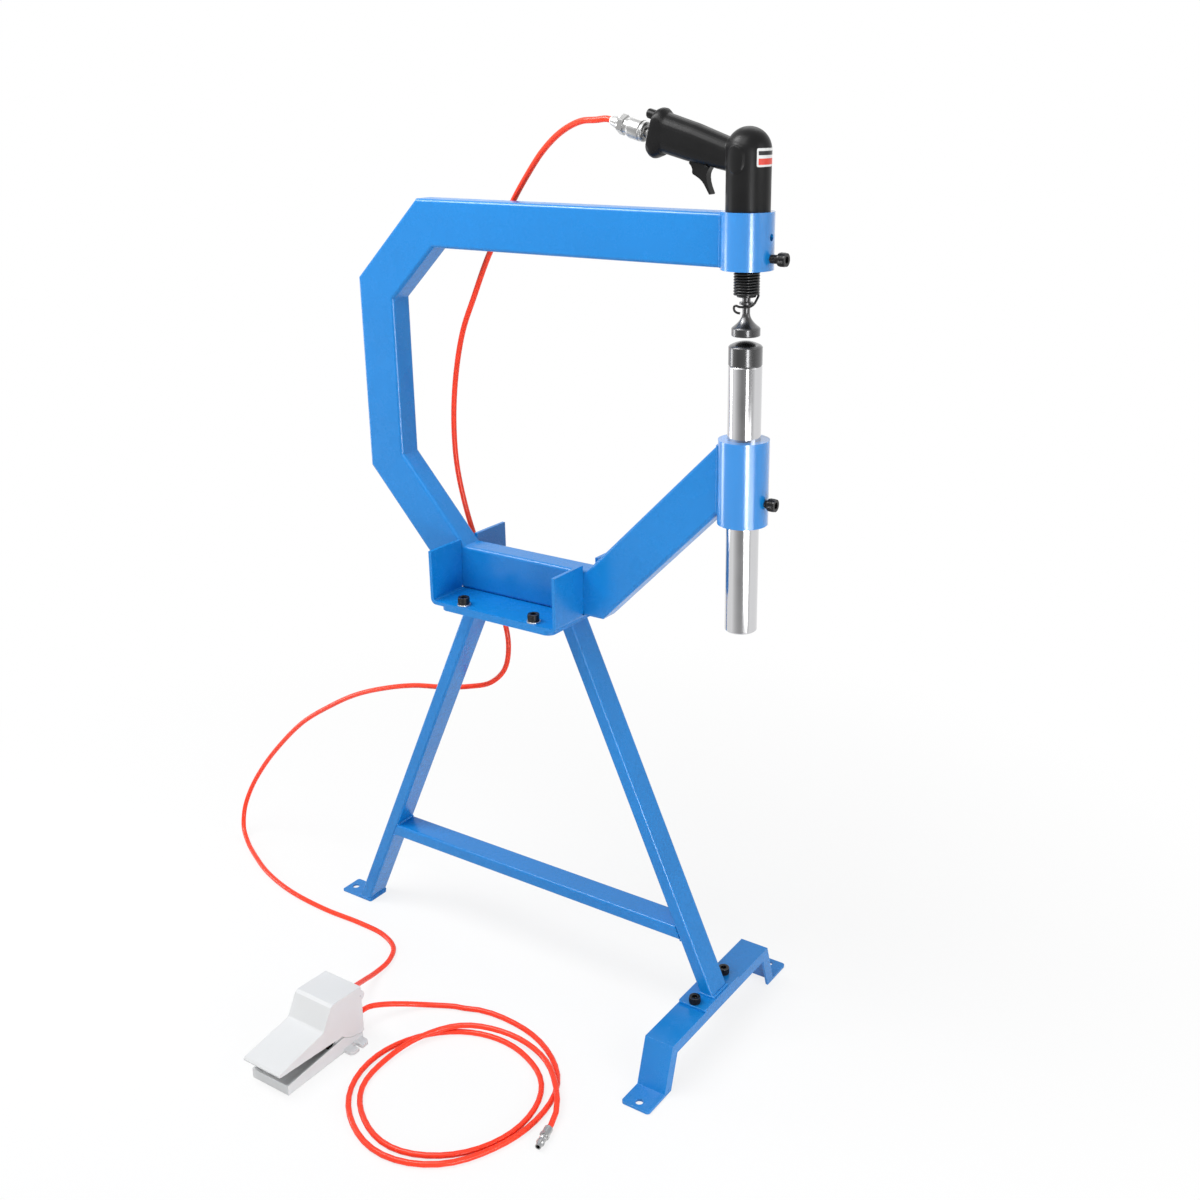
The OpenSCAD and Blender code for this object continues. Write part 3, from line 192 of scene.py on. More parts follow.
class Finish(Tree):
    """A material under construction. Its noises are scaled per metre in the object's own frame."""

    def __init__(self, name):
        self.material = bpy.data.materials.new(name)
        self.material.use_nodes = True
        super().__init__(self.material.node_tree)
        self.shader = self.tree.nodes["Principled BSDF"]
        self.place = self.node("ShaderNodeTexCoord").outputs["Object"]

    def set(self, **values):
        for key, value in values.items():
            self.feed(self.shader.inputs[key.replace("_", " ")], value)
        return self.material

    def steel(self, base, rough, normal):
        return self.set(Base_Color=base, Metallic=1.0, Roughness=rough, Normal=normal)

    def plastic(self, base, rough, normal, gloss=0.5, **more):
        """A look without metal, gloss being the strength of its reflections."""
        return self.set(Base_Color=base, Roughness=rough, Normal=normal, Specular_IOR_Level=gloss, **more)

    def noise(self, scale, detail, place=None):
        inputs = {"Scale": scale, "Detail": detail, "Vector": place or self.place}
        return self.node("ShaderNodeTexNoise", inputs).outputs["Fac"]

    def ramp(self, value, low, high, out_low, out_high, **settings):
        inputs = {"Value": value, "From Min": low, "From Max": high, "To Min": out_low, "To Max": out_high}
        return self.node("ShaderNodeMapRange", inputs, **settings).outputs["Result"]

    def spread(self, scale, detail, out_low, out_high, low=0.3, high=0.7):
        """Noise whose band from low to high fills the given range."""
        return self.ramp(self.noise(scale, detail), low, high, out_low, out_high)

    def mixed(self, share, first, second):
        return self.node("ShaderNodeMix", {0: share, 6: first, 7: second}, data_type="RGBA").outputs[2]

    def cloudy(self, colour, dark, light, scale, low=0.3, high=0.7):
        """The colour, shaded in clouds between two factors."""
        cloud = self.spread(scale, 3.0, 0.0, 1.0, low, high)
        return self.mixed(cloud, shade(colour, dark), shade(colour, light))

    def wear_and_highlight_on_edges(self, base, wear_and_highlight_tint, scale, least, most, low):
        """The base with another colour on its rounded edges, in patches of least to most strength: worn
        edges on the screws and the foot valve, and a painted highlight on the powder coat.
        """
        edge = self.node("ShaderNodeAttribute", attribute_name="edge").outputs["Fac"]
        share = self.math("MULTIPLY", edge, self.spread(scale, 3.0, least, most, low))
        return self.mixed(share, base, wear_and_highlight_tint)

    def painted_reflection_share(self, low, high):
        """0 where the surface faces the eye, rising from low to high to 1 at its outline; it paints
        reflections into a colour.
        """
        weight = self.node("ShaderNodeLayerWeight", {"Blend": 0.5})
        return self.ramp(weight.outputs["Facing"], low, high, 0.0, 1.0)

    def bump(self, height, strength, distance):
        inputs = {"Strength": strength, "Distance": distance, "Height": height}
        return self.node("ShaderNodeBump", inputs).outputs[0]

    def grain(self, scale, detail, strength, distance):
        return self.bump(self.noise(scale, detail), strength, distance)


def powder_coat(name, colour, roughness, **clear):
    """Baked paint with orange peel, paler on its rounded edges: a painted highlight, partly thinner paint.
    Clear holds the values of a clear coat.
    """
    made = Finish(name)
    base = made.cloudy(colour, 0.95, 1.05, 5.0, 0.35, 0.65)
    # painted highlight: a lighter blue on the rounded edges, partly standing for thinner paint
    edge_wear_and_highlight = toward(colour, (0.20, 0.50, 0.90), 0.35)
    base = made.wear_and_highlight_on_edges(base, edge_wear_and_highlight, 130.0, 0.15, 0.75, 0.35)
    rough = made.spread(38.0, 3.0, roughness - 0.05, roughness + 0.06)
    rough = made.math("ADD", rough, made.spread(900.0, 1.0, -0.03, 0.03))
    peel = made.grain(420.0, 1.5, 0.16, 0.0004)
    return made.plastic(base, rough, peel, 0.42, **clear)


def satin_black(colour):
    made = Finish("housing_satin_black")
    base, rough = made.cloudy(colour, 0.85, 1.2, 20.0), made.spread(60.0, 3.0, 0.30, 0.38)
    return made.plastic(base, rough, made.grain(1300.0, 2.0, 0.16, 0.00015), 0.15)


def turned_steel(name, colour, roughness, centre, along=(0.0, 0.0, 0.0), pitch=0.0005, face=0.5, marks=1.0,
                 reach=0.75):
    """Steel off a lathe, with rings as deep as marks about an axis through centre.

    Its colour holds a painted reflection: it is darker by the factor face where it faces the eye, up to
    reach towards its outline.
    """
    made = Finish(name)
    turned = {"Location": centre, "Rotation": along, "Vector": made.place}
    mapping = made.node("ShaderNodeMapping", turned, vector_type="TEXTURE")
    x, y, z = made.node("ShaderNodeSeparateXYZ", {0: mapping}).outputs
    radius = made.math("SQRT", made.math("ADD", made.math("MULTIPLY", x, x), made.math("MULTIPLY", y, y)))
    travel = made.math("MULTIPLY", made.math("ADD", radius, z), 1.0 / pitch)
    rings = made.noise(1.0, 2.0, made.node("ShaderNodeCombineXYZ", {0: travel}).outputs[0])
    smear = made.noise(30.0, 4.0)
    rough = made.math("ADD", made.ramp(rings, 0.3, 0.7, roughness - 0.06 * marks, roughness + 0.06 * marks),
                      made.ramp(smear, 0.3, 0.7, -0.03 * marks, 0.05 * marks))
    # painted reflection: a darker front where the steel faces the eye, turning to the full colour at its
    # outline
    share = made.ramp(smear, 0.35, 0.7, 0.0, 1.0)
    front = made.mixed(share, shade(colour, face), shade(colour, face * 0.8))
    base = made.mixed(made.painted_reflection_share(0.15 * reach, reach), front, colour)
    return made.steel(base, rough, made.bump(rings, 0.12 * marks, 0.00012))


def plated(colour):
    made = Finish("nickel_plate")
    # painted reflection: darker where the plate faces the eye, the full colour at its outline
    base = made.mixed(made.painted_reflection_share(0.12, 0.75), shade(colour, 0.45), colour)
    dull = (0.12, 0.12, 0.12)
    base = made.mixed(made.spread(90.0, 4.0, 0.0, 0.25, 0.4, 0.75), base, dull)
    return made.steel(base, made.spread(160.0, 3.0, 0.30, 0.38), made.grain(1500.0, 2.0, 0.08, 0.0001))


def black_oxide(colour):
    made = Finish("black_oxide_steel")
    base = made.mixed(made.noise(150.0, 3.0), shade(colour, 0.7), shade(colour, 1.5))
    edge_wear_and_highlight = toward(colour, (0.18, 0.17, 0.16), 0.5)
    base = made.wear_and_highlight_on_edges(base, edge_wear_and_highlight, 400.0, 0.1, 0.8, 0.4)
    rough, grain = made.spread(220.0, 3.0, 0.18, 0.28), made.grain(1700.0, 1.0, 0.1, 0.0001)
    return made.plastic(base, rough, grain, 0.3)


def zinc_plate():
    made = Finish("zinc_plate")
    bright, dull = (0.60, 0.61, 0.62), (0.44, 0.45, 0.47)
    base = made.mixed(made.spread(120.0, 4.0, 0.0, 1.0, 0.35), bright, dull)
    return made.steel(base, made.spread(200.0, 3.0, 0.26, 0.42), made.grain(1200.0, 2.0, 0.1, 0.0001))


def hose_skin(colour):
    made = Finish("hose_polyurethane")
    base, rough = made.cloudy(colour, 0.93, 1.05, 14.0), made.spread(55.0, 2.0, 0.24, 0.34)
    return made.plastic(base, rough, made.grain(260.0, 1.0, 0.06, 0.0003), 0.3, Subsurface_Weight=0.12,
                        Subsurface_Scale=0.002, Subsurface_Radius=(1.0, 0.2, 0.1))


def moulded_grey(colour):
    made = Finish("foot_valve_moulding")
    base = made.wear_and_highlight_on_edges(made.cloudy(colour, 0.97, 1.02, 9.0), shade(colour, 0.8), 300.0, 0.0, 0.5, 0.45)
    rough, grain = made.spread(70.0, 3.0, 0.42, 0.54), made.grain(1100.0, 2.0, 0.18, 0.0002)
    return made.plastic(base, rough, grain)


def plain_plastic(name, colour, roughness, gloss=0.5):
    made = Finish(name)
    base = made.mixed(made.noise(40.0, 2.0), shade(colour, 0.94), shade(colour, 1.05))
    rough = made.spread(120.0, 2.0, roughness - 0.04, roughness + 0.05)
    return made.plastic(base, rough, made.grain(900.0, 1.0, 0.08, 0.0001), gloss)


MATERIALS = {}


def finishes():
    """All finishes by name, made once from the properties."""
    if MATERIALS:
        return MATERIALS
    scene = bpy.context.scene
    tool, coat = scene.planisher_tool, scene.planisher_frame
    paint, steel, nickel = tuple(coat.paint), tuple(tool.steel), tuple(tool.plating)
    tool_axis, grip_lean = (TOOL_X * MM, 0.0, 0.0), (0.0, -(math.pi / 2 - GRIP_TILT), 0.0)
    MATERIALS.update({
        "paint": powder_coat("powder_coat_blue", paint, coat.paint_roughness),
        # the collars' paint is the frame's blue lightened by 1.12, a painted sheen
        "collar": powder_coat("powder_coat_collar", shade(paint, 1.12), 0.2, Coat_Weight=1.0,
                              Coat_Roughness=0.22),
        "housing": satin_black(tuple(tool.housing)),
        # painted reflections: the die's steel is darkened to half and the post's lightened by 1.2, and face
        # darkens die, post and coupler where they face the eye
        "die": turned_steel("die_steel", shade(steel, 0.5), 0.25, tool_axis, face=0.25, marks=0.3),
        "post": turned_steel("post_steel", shade(steel, 1.2), 0.13, tool_axis, pitch=0.0011, face=0.30,
                             marks=0.15, reach=0.22),
        "plate": plated(nickel),
        "coupler": turned_steel("coupler_nickel", nickel, 0.36, on_grip(0.0, 0.0, AIR_V), grip_lean,
                                pitch=0.0006, face=0.45, marks=0.4),
        "black": black_oxide(tuple(tool.black_oxide)),
        "zinc": zinc_plate(),
        "hose": hose_skin(tuple(scene.planisher_hose.colour)),
        "pedal": moulded_grey(tuple(scene.planisher_pedal.moulding)),
        "knob": plain_plastic("knob_black", (0.004, 0.004, 0.0042), 0.28, 0.2),
        "panel_white": plain_plastic("panel_white", (0.80, 0.80, 0.79), 0.32),
        "panel_black": plain_plastic("panel_black", (0.010, 0.010, 0.010), 0.32, 0.3),
        "collar_white": plain_plastic("hose_collar_white", (0.74, 0.73, 0.70), 0.4),
        "panel_red": plain_plastic("panel_red", (0.72, 0.045, 0.022), 0.32),
        # a near-black matte for the cross pin's dimple: painted shade
        "bore": plain_plastic("dark_bore", (0.004, 0.004, 0.004), 0.7, 0.1),
    })
    return MATERIALS


# Mesh helpers

JOIN_GAP = 2e-6
FLAT_ANGLE = math.radians(0.6)
SHARP_ANGLE = 36.0


def linked(name, data):
    made = bpy.data.objects.new(name, data)
    bpy.context.scene.collection.objects.link(made)
    return made


def cover(mesh, material):
    mesh.materials.clear()
    mesh.materials.append(material)


def new_piece(name, mesh, finish, body):
    """An object with a finish and that finish's slot, which rides on a body."""
    made = linked(name, mesh)
    cover(mesh, finishes()[finish])
    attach(made, body)
    return made


def sharpen(mesh, angle):
    """Smooth faces, with sharp edges where they turn by more than angle degrees."""
    mesh.polygons.foreach_set("use_smooth", [True] * len(mesh.polygons))
    mesh.set_sharp_from_angle(angle=math.radians(angle))


def solid(name, points, faces, finish, angle):
    """A closed piece of the frame with outward faces."""
    mesh = bpy.data.meshes.new(name)
    mesh.from_pydata([tuple(p) for p in points], [], faces)
    mesh.validate()
    work = bmesh.new()
    work.from_mesh(mesh)
    bmesh.ops.recalc_face_normals(work, faces=work.faces)
    work.to_mesh(mesh)
    work.free()
    sharpen(mesh, angle)
    return new_piece(name, mesh, finish, "frame")


def finish_node(node, finish, edge=0.0, segments=2, corner=28.0, name=None, weigh=True):
    """A copy of a CAD node with clean faces and rounded edges, which then stands for the node.

    Edges that turn by more than corner degrees are rounded by edge metres.
    """
    name = name or node + "_finished"
    work = bmesh.new()
    work.from_mesh(NODES[node].data)
    bmesh.ops.remove_doubles(work, verts=work.verts, dist=JOIN_GAP)
    bmesh.ops.dissolve_degenerate(work, edges=work.edges, dist=JOIN_GAP)
    bmesh.ops.dissolve_limit(work, angle_limit=FLAT_ANGLE, verts=work.verts, edges=work.edges)
    layer = work.faces.layers.float.new("edge")
    if edge > 0.0:
        sharp = [e for e in work.edges if len(e.link_faces) == 2
                 and e.calc_face_angle(0.0) > math.radians(corner)]
        rounded = bmesh.ops.bevel(work, geom=sharp, offset=edge, offset_type="OFFSET", segments=segments,
                                  profile=0.5, affect="EDGES", clamp_overlap=True)
        for face in rounded["faces"]:
            face[layer] = 1.0
    mesh = bpy.data.meshes.new(name)
    work.to_mesh(mesh)
    work.free()
    sharpen(mesh, SHARP_ANGLE)
    made = new_piece(name, mesh, finish, BODY_OF[node])
    if weigh:
        even = made.modifiers.new("Even faces", "WEIGHTED_NORMAL")
        even.keep_sharp = True
        even.weight = 60
    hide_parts(node)
    return made


def paint_node(node, finish):
    """Gives a CAD node its material in its own slots."""
    thing, material = NODES[node], finishes()[finish]
    if not thing.material_slots:
        thing.data.materials.append(material)
    for place in thing.material_slots:
        place.material = material


def through(points, steps, least_z=None):
    """A smooth line through points, steps to each stretch, by centripetal splines."""
    ends = [points[0] * 2 - points[1], *points, points[-1] * 2 - points[-2]]
    line = []
    for a, b, c, d in zip(ends, ends[1:], ends[2:], ends[3:]):
        t = [0.0]
        for p, q in ((a, b), (b, c), (c, d)):
            t.append(t[-1] + max(math.sqrt((q - p).length), 1e-9))
        for step in range(steps):
            x = t[1] + (t[2] - t[1]) * step / steps
            share = {(i, k): (x - t[i]) / (t[k] - t[i]) for i in range(3) for k in range(i + 1, 4)}
            ab, bc, cd = a.lerp(b, share[0, 1]), b.lerp(c, share[1, 2]), c.lerp(d, share[2, 3])
            line.append(ab.lerp(bc, share[0, 2]).lerp(bc.lerp(cd, share[1, 3]), share[1, 2]))
    line.append(points[-1].copy())
    if least_z is not None:
        for p in line:
            p.z = max(p.z, least_z)
    return line


def circle(centre, side, other, radius, steps):
    turns = [2 * math.pi * k / steps for k in range(steps)]
    return [centre + radius * (math.cos(a) * side + math.sin(a) * other) for a in turns]


def tube(name, line, radius, sides, finish):
    """A closed round tube along a line, its ring carried on without twist."""
    points, faces = [], []
    last = len(line) - 1
    side = (line[1] - line[0]).normalized().orthogonal()
    for i, p in enumerate(line):
        ahead = (line[min(i + 1, last)] - line[max(i - 1, 0)]).normalized()
        side = (side - ahead * side.dot(ahead)).normalized()
        points += circle(p, side, ahead.cross(side), radius, sides)
    for a in range(0, last * sides, sides):
        pairs = [(a + k, a + (k + 1) % sides) for k in range(sides)]
        faces += [(near, far, far + sides, near + sides) for near, far in pairs]
    faces.append(tuple(range(sides - 1, -1, -1)))
    faces.append(tuple(range(last * sides, (last + 1) * sides)))
    return solid(name, points, faces, finish, angle=50.0)


def lathe(name, profile, origin, along, finish, steps=40):
    """A closed round piece from (distance, radius) pairs in metres, turned about along from origin."""
    axis = Vector(along).normalized()
    side = axis.orthogonal().normalized()
    points, faces, rings = [], [], []
    for distance, radius in profile:
        ring = [origin + axis * distance]
        if radius > 0:
            ring = circle(ring[0], side, axis.cross(side), radius, steps)
        rings.append(range(len(points), len(points) + len(ring)))
        points += ring
    if len(rings[0]) > 1:
        rings.append(rings[0])
    for low, high in zip(rings, rings[1:]):
        for k in range(steps):
            m = (k + 1) % steps
            corners = [low[k % len(low)], low[m % len(low)], high[m % len(high)], high[k % len(high)]]
            face = [c for i, c in enumerate(corners) if c not in corners[:i]]
            if len(face) > 2:
                faces.append(face)
    return solid(name, points, faces, finish, angle=35.0)


# Geometry Nodes helpers


class Grower(Tree):
    """A Geometry Nodes tree under construction, with named inputs."""

    def __init__(self, name):
        super().__init__(bpy.data.node_groups.new(name, "GeometryNodeTree"))
        for side in ("INPUT", "OUTPUT"):
            self.tree.interface.new_socket("Geometry", in_out=side, socket_type="NodeSocketGeometry")
        self.start = self.node("NodeGroupInput")
        self.end = self.node("NodeGroupOutput")
        self.sockets = {}

    def inputs(self, **kinds):
        for key, kind in kinds.items():
            name = key.replace("_", " ")
            made = self.tree.interface.new_socket(name, in_out="INPUT", socket_type="NodeSocket" + kind)
            self.sockets[key] = made.identifier
        return [self.start.outputs[key.replace("_", " ")] for key in kinds]

    def aimed(self, vector, **settings):
        return self.node("FunctionNodeAlignRotationToVector", {"Vector": vector}, **settings)

    def placed(self, points, instance, **more):
        return self.node("GeometryNodeInstanceOnPoints", {"Points": points, "Instance": instance, **more})

    def on_seeds(self, instance):
        """The instance on every point of the seed mesh, turned along the point's way attribute."""
        way = self.node("GeometryNodeInputNamedAttribute", {"Name": "way"}, data_type="FLOAT_VECTOR")
        return self.placed(self.start, instance, Rotation=self.aimed(way, axis="Z"))

    def swept(self, curve, section):
        inputs = {"Curve": curve, "Profile Curve": section, "Fill Caps": True}
        return self.node("GeometryNodeCurveToMesh", inputs)

    def close(self, geometry, smooth=False):
        """Ends the tree in Realize Instances and Set Material."""
        if smooth:
            geometry = self.node("GeometryNodeSetShadeSmooth", {0: geometry})
        real = self.node("GeometryNodeRealizeInstances", {0: geometry})
        material = self.inputs(Material="Material")[0]
        coat = self.node("GeometryNodeSetMaterial", {"Geometry": real, "Material": material})
        self.feed(self.end.inputs[0], coat)
        return self


def grown(name, grower, base_mesh, finish, body, **values):
    """Runs a tree on a base mesh and returns the plain mesh object that comes of it."""
    holder = linked(name + "_seed", base_mesh)
    modifier = holder.modifiers.new("Grow", "NODES")
    modifier.node_group = grower.tree
    for key, value in {**values, "Material": finishes()[finish]}.items():
        modifier[grower.sockets[key]] = value
    depsgraph = bpy.context.evaluated_depsgraph_get()
    mesh = bpy.data.meshes.new_from_object(holder.evaluated_get(depsgraph), depsgraph=depsgraph)
    bpy.data.objects.remove(holder)
    if not mesh.polygons:
        raise RuntimeError(f"{name} grew no faces")
    mesh.name = name
    return new_piece(name, mesh, finish, body)


def path_mesh(name, lines):
    """Points along each line, each with an edge to the next one."""
    points, edges = [], []
    for line in lines:
        start = len(points)
        points += [tuple(p) for p in line]
        edges += [(i, i + 1) for i in range(start, len(points) - 1)]
    mesh = bpy.data.meshes.new(name)
    mesh.from_pydata(points, edges, [])
    mesh.update()
    return mesh


def seeds(name, places):
    """Points with a direction each, for the trees that grow on points."""
    mesh = path_mesh(name, [[point] for point, _ in places])
    way = mesh.attributes.new("way", "FLOAT_VECTOR", "POINT")
    for i, (_, direction) in enumerate(places):
        way.data[i].vector = direction
    return mesh


def wire_grower():
    """Wire of a round section along a path."""
    g = Grower("wire_along_path")
    radius, sides = g.inputs(Wire_radius="Float", Sides="Int")
    section = g.node("GeometryNodeCurvePrimitiveCircle", {"Resolution": sides, "Radius": radius})
    return g.close(g.swept(g.node("GeometryNodeMeshToCurve", {0: g.start}), section), smooth=True)


def bead_grower():
    """Ripples of a weld bead, laid along a path one over the other."""
    g = Grower("weld_bead")
    width, pitch, seed = g.inputs(Bead_width="Float", Ripple_pitch="Float", Seed="Int")
    curve = g.node("GeometryNodeMeshToCurve", {0: g.start})
    spaced = g.node("GeometryNodeResampleCurve", {"Curve": curve, "Length": pitch}, mode="LENGTH")
    ripple = g.node("GeometryNodeMeshUVSphere", {"Segments": 10, "Rings": 6, "Radius": 0.5})
    vary = g.node("FunctionNodeRandomValue", {2: 0.88, 3: 1.08, "Seed": seed}, data_type="FLOAT")
    across = g.math("MULTIPLY", width, vary.outputs[1])
    size = g.node("ShaderNodeCombineXYZ", {0: g.math("MULTIPLY", pitch, 2.6), 1: across, 2: across})
    turn = g.aimed(g.node("GeometryNodeInputTangent"), axis="X")
    return g.close(g.placed(spaced, ripple, Rotation=turn, Scale=size), smooth=True)


def ridge_grower():
    """Rings of straight ridges, such as the knurl of a screw head, on every point of the seed mesh."""
    g = Grower("knurl_ridges")
    count, radius, length = g.inputs(Ridges="Int", Knurl_radius="Float", Ridge_length="Float")
    ring = g.node("GeometryNodeMeshCircle", {"Vertices": count, "Radius": radius})
    ridge = g.node("GeometryNodeMeshCylinder", {"Vertices": 4, "Radius": 1.0, "Depth": 1.0})
    half = g.math("MULTIPLY", g.math("DIVIDE", radius, count), 2.7)
    size = g.node("ShaderNodeCombineXYZ", {0: half, 1: half, 2: length})
    turn = g.aimed(g.node("GeometryNodeInputPosition"), axis="X", pivot_axis="Z")
    return g.close(g.on_seeds(g.placed(ring, ridge, Rotation=turn, Scale=size)))


def thread_grower():
    """A helical ridge on every point of the seed mesh."""
    g = Grower("screw_thread")
    radius, turns, pitch = g.inputs(Thread_radius="Float", Turns="Float", Thread_pitch="Float")
    spiral = g.node("GeometryNodeCurveSpiral", {
        "Resolution": 24, "Rotations": turns, "Start Radius": radius, "End Radius": radius,
        "Height": g.math("MULTIPLY", turns, pitch)})
    thickness = g.math("MULTIPLY", pitch, 0.42)
    section = g.node("GeometryNodeCurvePrimitiveCircle", {"Resolution": 4, "Radius": thickness})
    return g.close(g.on_seeds(g.swept(spiral, section)))


# Hoses

HOSE_WAY = Vector((-math.cos(GRIP_TILT), 0.0, math.sin(GRIP_TILT)))
HOSE_EXIT = at(-151.1, 0.0, 1270.7)
HAMMER_PORT = at(-464.0, -278.0, 46)
SUPPLY_PORT = at(-434.0, -278.0, 26)
LEAD = 8 * MM
SOCKET = 5 * MM
RESTING_Z = 4 * MM
HAMMER_ROUTE = [
    (-176, 1, 1271.5), (-204, 6, 1269.5), (-240, 14, 1256.5), (-276, 22, 1232.5), (-307, 28, 1201.5),
    (-334, 31, 1168), (-360, 34, 1128), (-386, 36, 1090), (-418, 40, 1032), (-446, 45, 980),
    (-468, 51, 915), (-481, 56, 845), (-483, 60, 775), (-473, 63, 712), (-455, 64, 655), (-430, 64, 596),
    (-408, 63, 545), (-397, 60, 500), (-403, 56, 460), (-428, 51, 433), (-468, 45, 419), (-515, 39, 409),
    (-575, 35, 399), (-640, 34, 379), (-709, 36, 350), (-780, 39, 309), (-850, 41, 261), (-915, 42, 200),
    (-965, 41, 143), (-1000, 37, 90), (-1014, 29, 48), (-1006, 16, 19), (-980, 0, 6), (-935, -24, 4),
    (-870, -53, 4), (-790, -74, 4), (-700, -82, 4), (-620, -80, 4), (-565, -84, 4), (-526, -102, 4),
    (-507, -134, 5), (-499, -170, 9), (-489, -204, 20), (-476, -238, 34),
]
SUPPLY_ROUTE = [(-433, -252, 24), (-424, -232, 19), (-406, -208, 12), (-382, -184, 5)]
COIL_CENTRE = (-235.0, -300.0)
COIL_START = 124.0
LOOP_R = [170, 154, 147, 146, 139, 138, 146, 148, 142, 138, 131, 122, 116, 113, 115, 124, 127, 129, 131,
          132, 126, 123, 114, 114, 117, 119, 128, 141, 163]
LOOP_LIFT = [0] * 22 + [1, 5, 10, 10, 9, 12, 3]
PLUG_BEND = 12.0


def blend4(a, b, c, d, f):
    """A smooth value the share f of the way from b to c, with a before and d after them."""
    return (b + f * (c - a) / 2 + f * f * (a - 2.5 * b + 2 * c - d / 2)
            + f ** 3 * (1.5 * (b - c) + (d - a) / 2))


def sampled(values, x):
    """The values as a smooth curve, read at x."""
    i, last = int(math.floor(x)), len(values) - 1
    return blend4(values[max(i - 1, 0)], values[min(i, last)], values[min(i + 1, last)],
                  values[min(i + 2, last)], x - i)


def coil_point(x):
    a, r = math.radians(COIL_START - 30 * x), sampled(LOOP_R, x)
    lift = max(0.0, sampled(LOOP_LIFT, x))
    return at(COIL_CENTRE[0] + r * math.cos(a), COIL_CENTRE[1] + r * math.sin(a), 4 + lift)


def coil_ends():
    """The lead-in point, its direction and the plug's seat."""
    first, second = coil_point(0), coil_point(0.5)
    last, before = coil_point(len(LOOP_R) - 1), coil_point(len(LOOP_R) - 1.5)
    into, out = [Vector((v.x, v.y, 0.0)).normalized() for v in (second - first, last - before)]
    out = Matrix.Rotation(-math.radians(PLUG_BEND), 3, "Z") @ out
    return first - LEAD * into, into, last + LEAD * out


class PLANISHER_OT_hammer_hose(bpy.types.Operator):
    """Makes the hose from the coupler to the foot valve"""

    bl_idname = "planisher.hammer_hose"
    bl_label = "Hammer hose"

    def execute(self, context):
        sizes = context.scene.planisher_hose
        points = [HOSE_EXIT - LEAD * HOSE_WAY, HOSE_EXIT + LEAD * HOSE_WAY, *in_metres(HAMMER_ROUTE),
                  HAMMER_PORT + Vector((0, LEAD, 0)), HAMMER_PORT - Vector((0, SOCKET, 0))]
        line = through(points, 6, least_z=RESTING_Z)
        made = tube("hose_to_hammer", line, sizes.diameter / 2, sizes.sides, "hose")
        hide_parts("hammer_hose")
        return {"FINISHED"}


class PLANISHER_OT_supply_hose(bpy.types.Operator):
    """Makes the supply hose with its coil on the floor, and its plug"""

    bl_idname = "planisher.supply_hose"
    bl_label = "Supply hose"

    def execute(self, context):
        sizes = context.scene.planisher_hose
        start, into, end = coil_ends()
        leg = through([SUPPLY_PORT - Vector((0, SOCKET, 0)), SUPPLY_PORT + Vector((0, LEAD, 0)),
                       *in_metres(SUPPLY_ROUTE), start - LEAD * into, start], 6, least_z=RESTING_Z)
        coil = [coil_point(i / 4) for i in range(4 * (len(LOOP_R) - 1) + 1)]
        line = [*leg, *coil, end]
        made = tube("hose_to_supply", line, sizes.diameter / 2, sizes.sides, "hose")
        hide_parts("supply_hose", "supply_hose_coil")
        plug = finish_node("supply_plug", "plate", edge=0.00025)
        return {"FINISHED"}


# Frame and stand

FRAME_TUBES = ["upper_arm", "upper_chamfer_tube", "column", "lower_chamfer_tube", "base_tube", "lower_arm",
               "rear_leg", "front_leg", "crossbar"]
FRAME_PLATES = ["cradle", "stand_top_plate", "front_foot_plate", "rear_foot_plate", "front_foot"]


class PLANISHER_OT_frame(bpy.types.Operator):
    """Paints the frame's tubes, collars, cradle and stand, with rounded edges"""

    bl_idname = "planisher.frame"
    bl_label = "Frame and stand"

    def execute(self, context):
        edge = context.scene.planisher_frame.edge_round
        for node in FRAME_TUBES:
            finish_node(node, "paint")
        for node in FRAME_PLATES:
            finish_node(node, "paint", edge)
        for node in ("upper_collar", "lower_collar"):
            finish_node(node, "collar", edge)
        return {"FINISHED"}


class PLANISHER_OT_welds(bpy.types.Operator):
    """Lays the painted weld beads of the frame and the stand"""

    bl_idname = "planisher.welds"
    bl_label = "Weld beads"

    def ring(self, x0, x1, half, z):
        return [(x0, -half, z), (x1, -half, z), (x1, half, z), (x0, half, z), (x0, -half, z)]

    def execute(self, context):
        look = context.scene.planisher_frame
        leg_half, bar_half, arm_half = 19.0, 17.0, 18.2
        lines = [self.ring(x0, x1, leg_half, z) for x0, x1, z in (
            (-242.0, -220.0, 602.4), (-403.4, -381.4, 602.4), (-4.0, 17.9, 73.6), (-679.0, -657.0, 3.6))]
        for z, front, rear in ((169.3, -47.3, -580.5), (148.7, -38.2, -590.0)):
            lines += [[(x, -bar_half, z), (x, bar_half, z)] for x in (front, rear)]
        for y in (-arm_half, arm_half):
            lines += [[(14.2, y, low), (14.2, y, high)] for low, high in ((1106.0, 1164.0), (798.0, 884.0))]
        paths = path_mesh("weld_paths", [in_metres(line) for line in lines])
        grown("weld_beads", bead_grower(), paths, "paint", "frame", Bead_width=look.bead_width,
              Ripple_pitch=look.bead_pitch, Seed=11)
        return {"FINISHED"}


# Air hammer


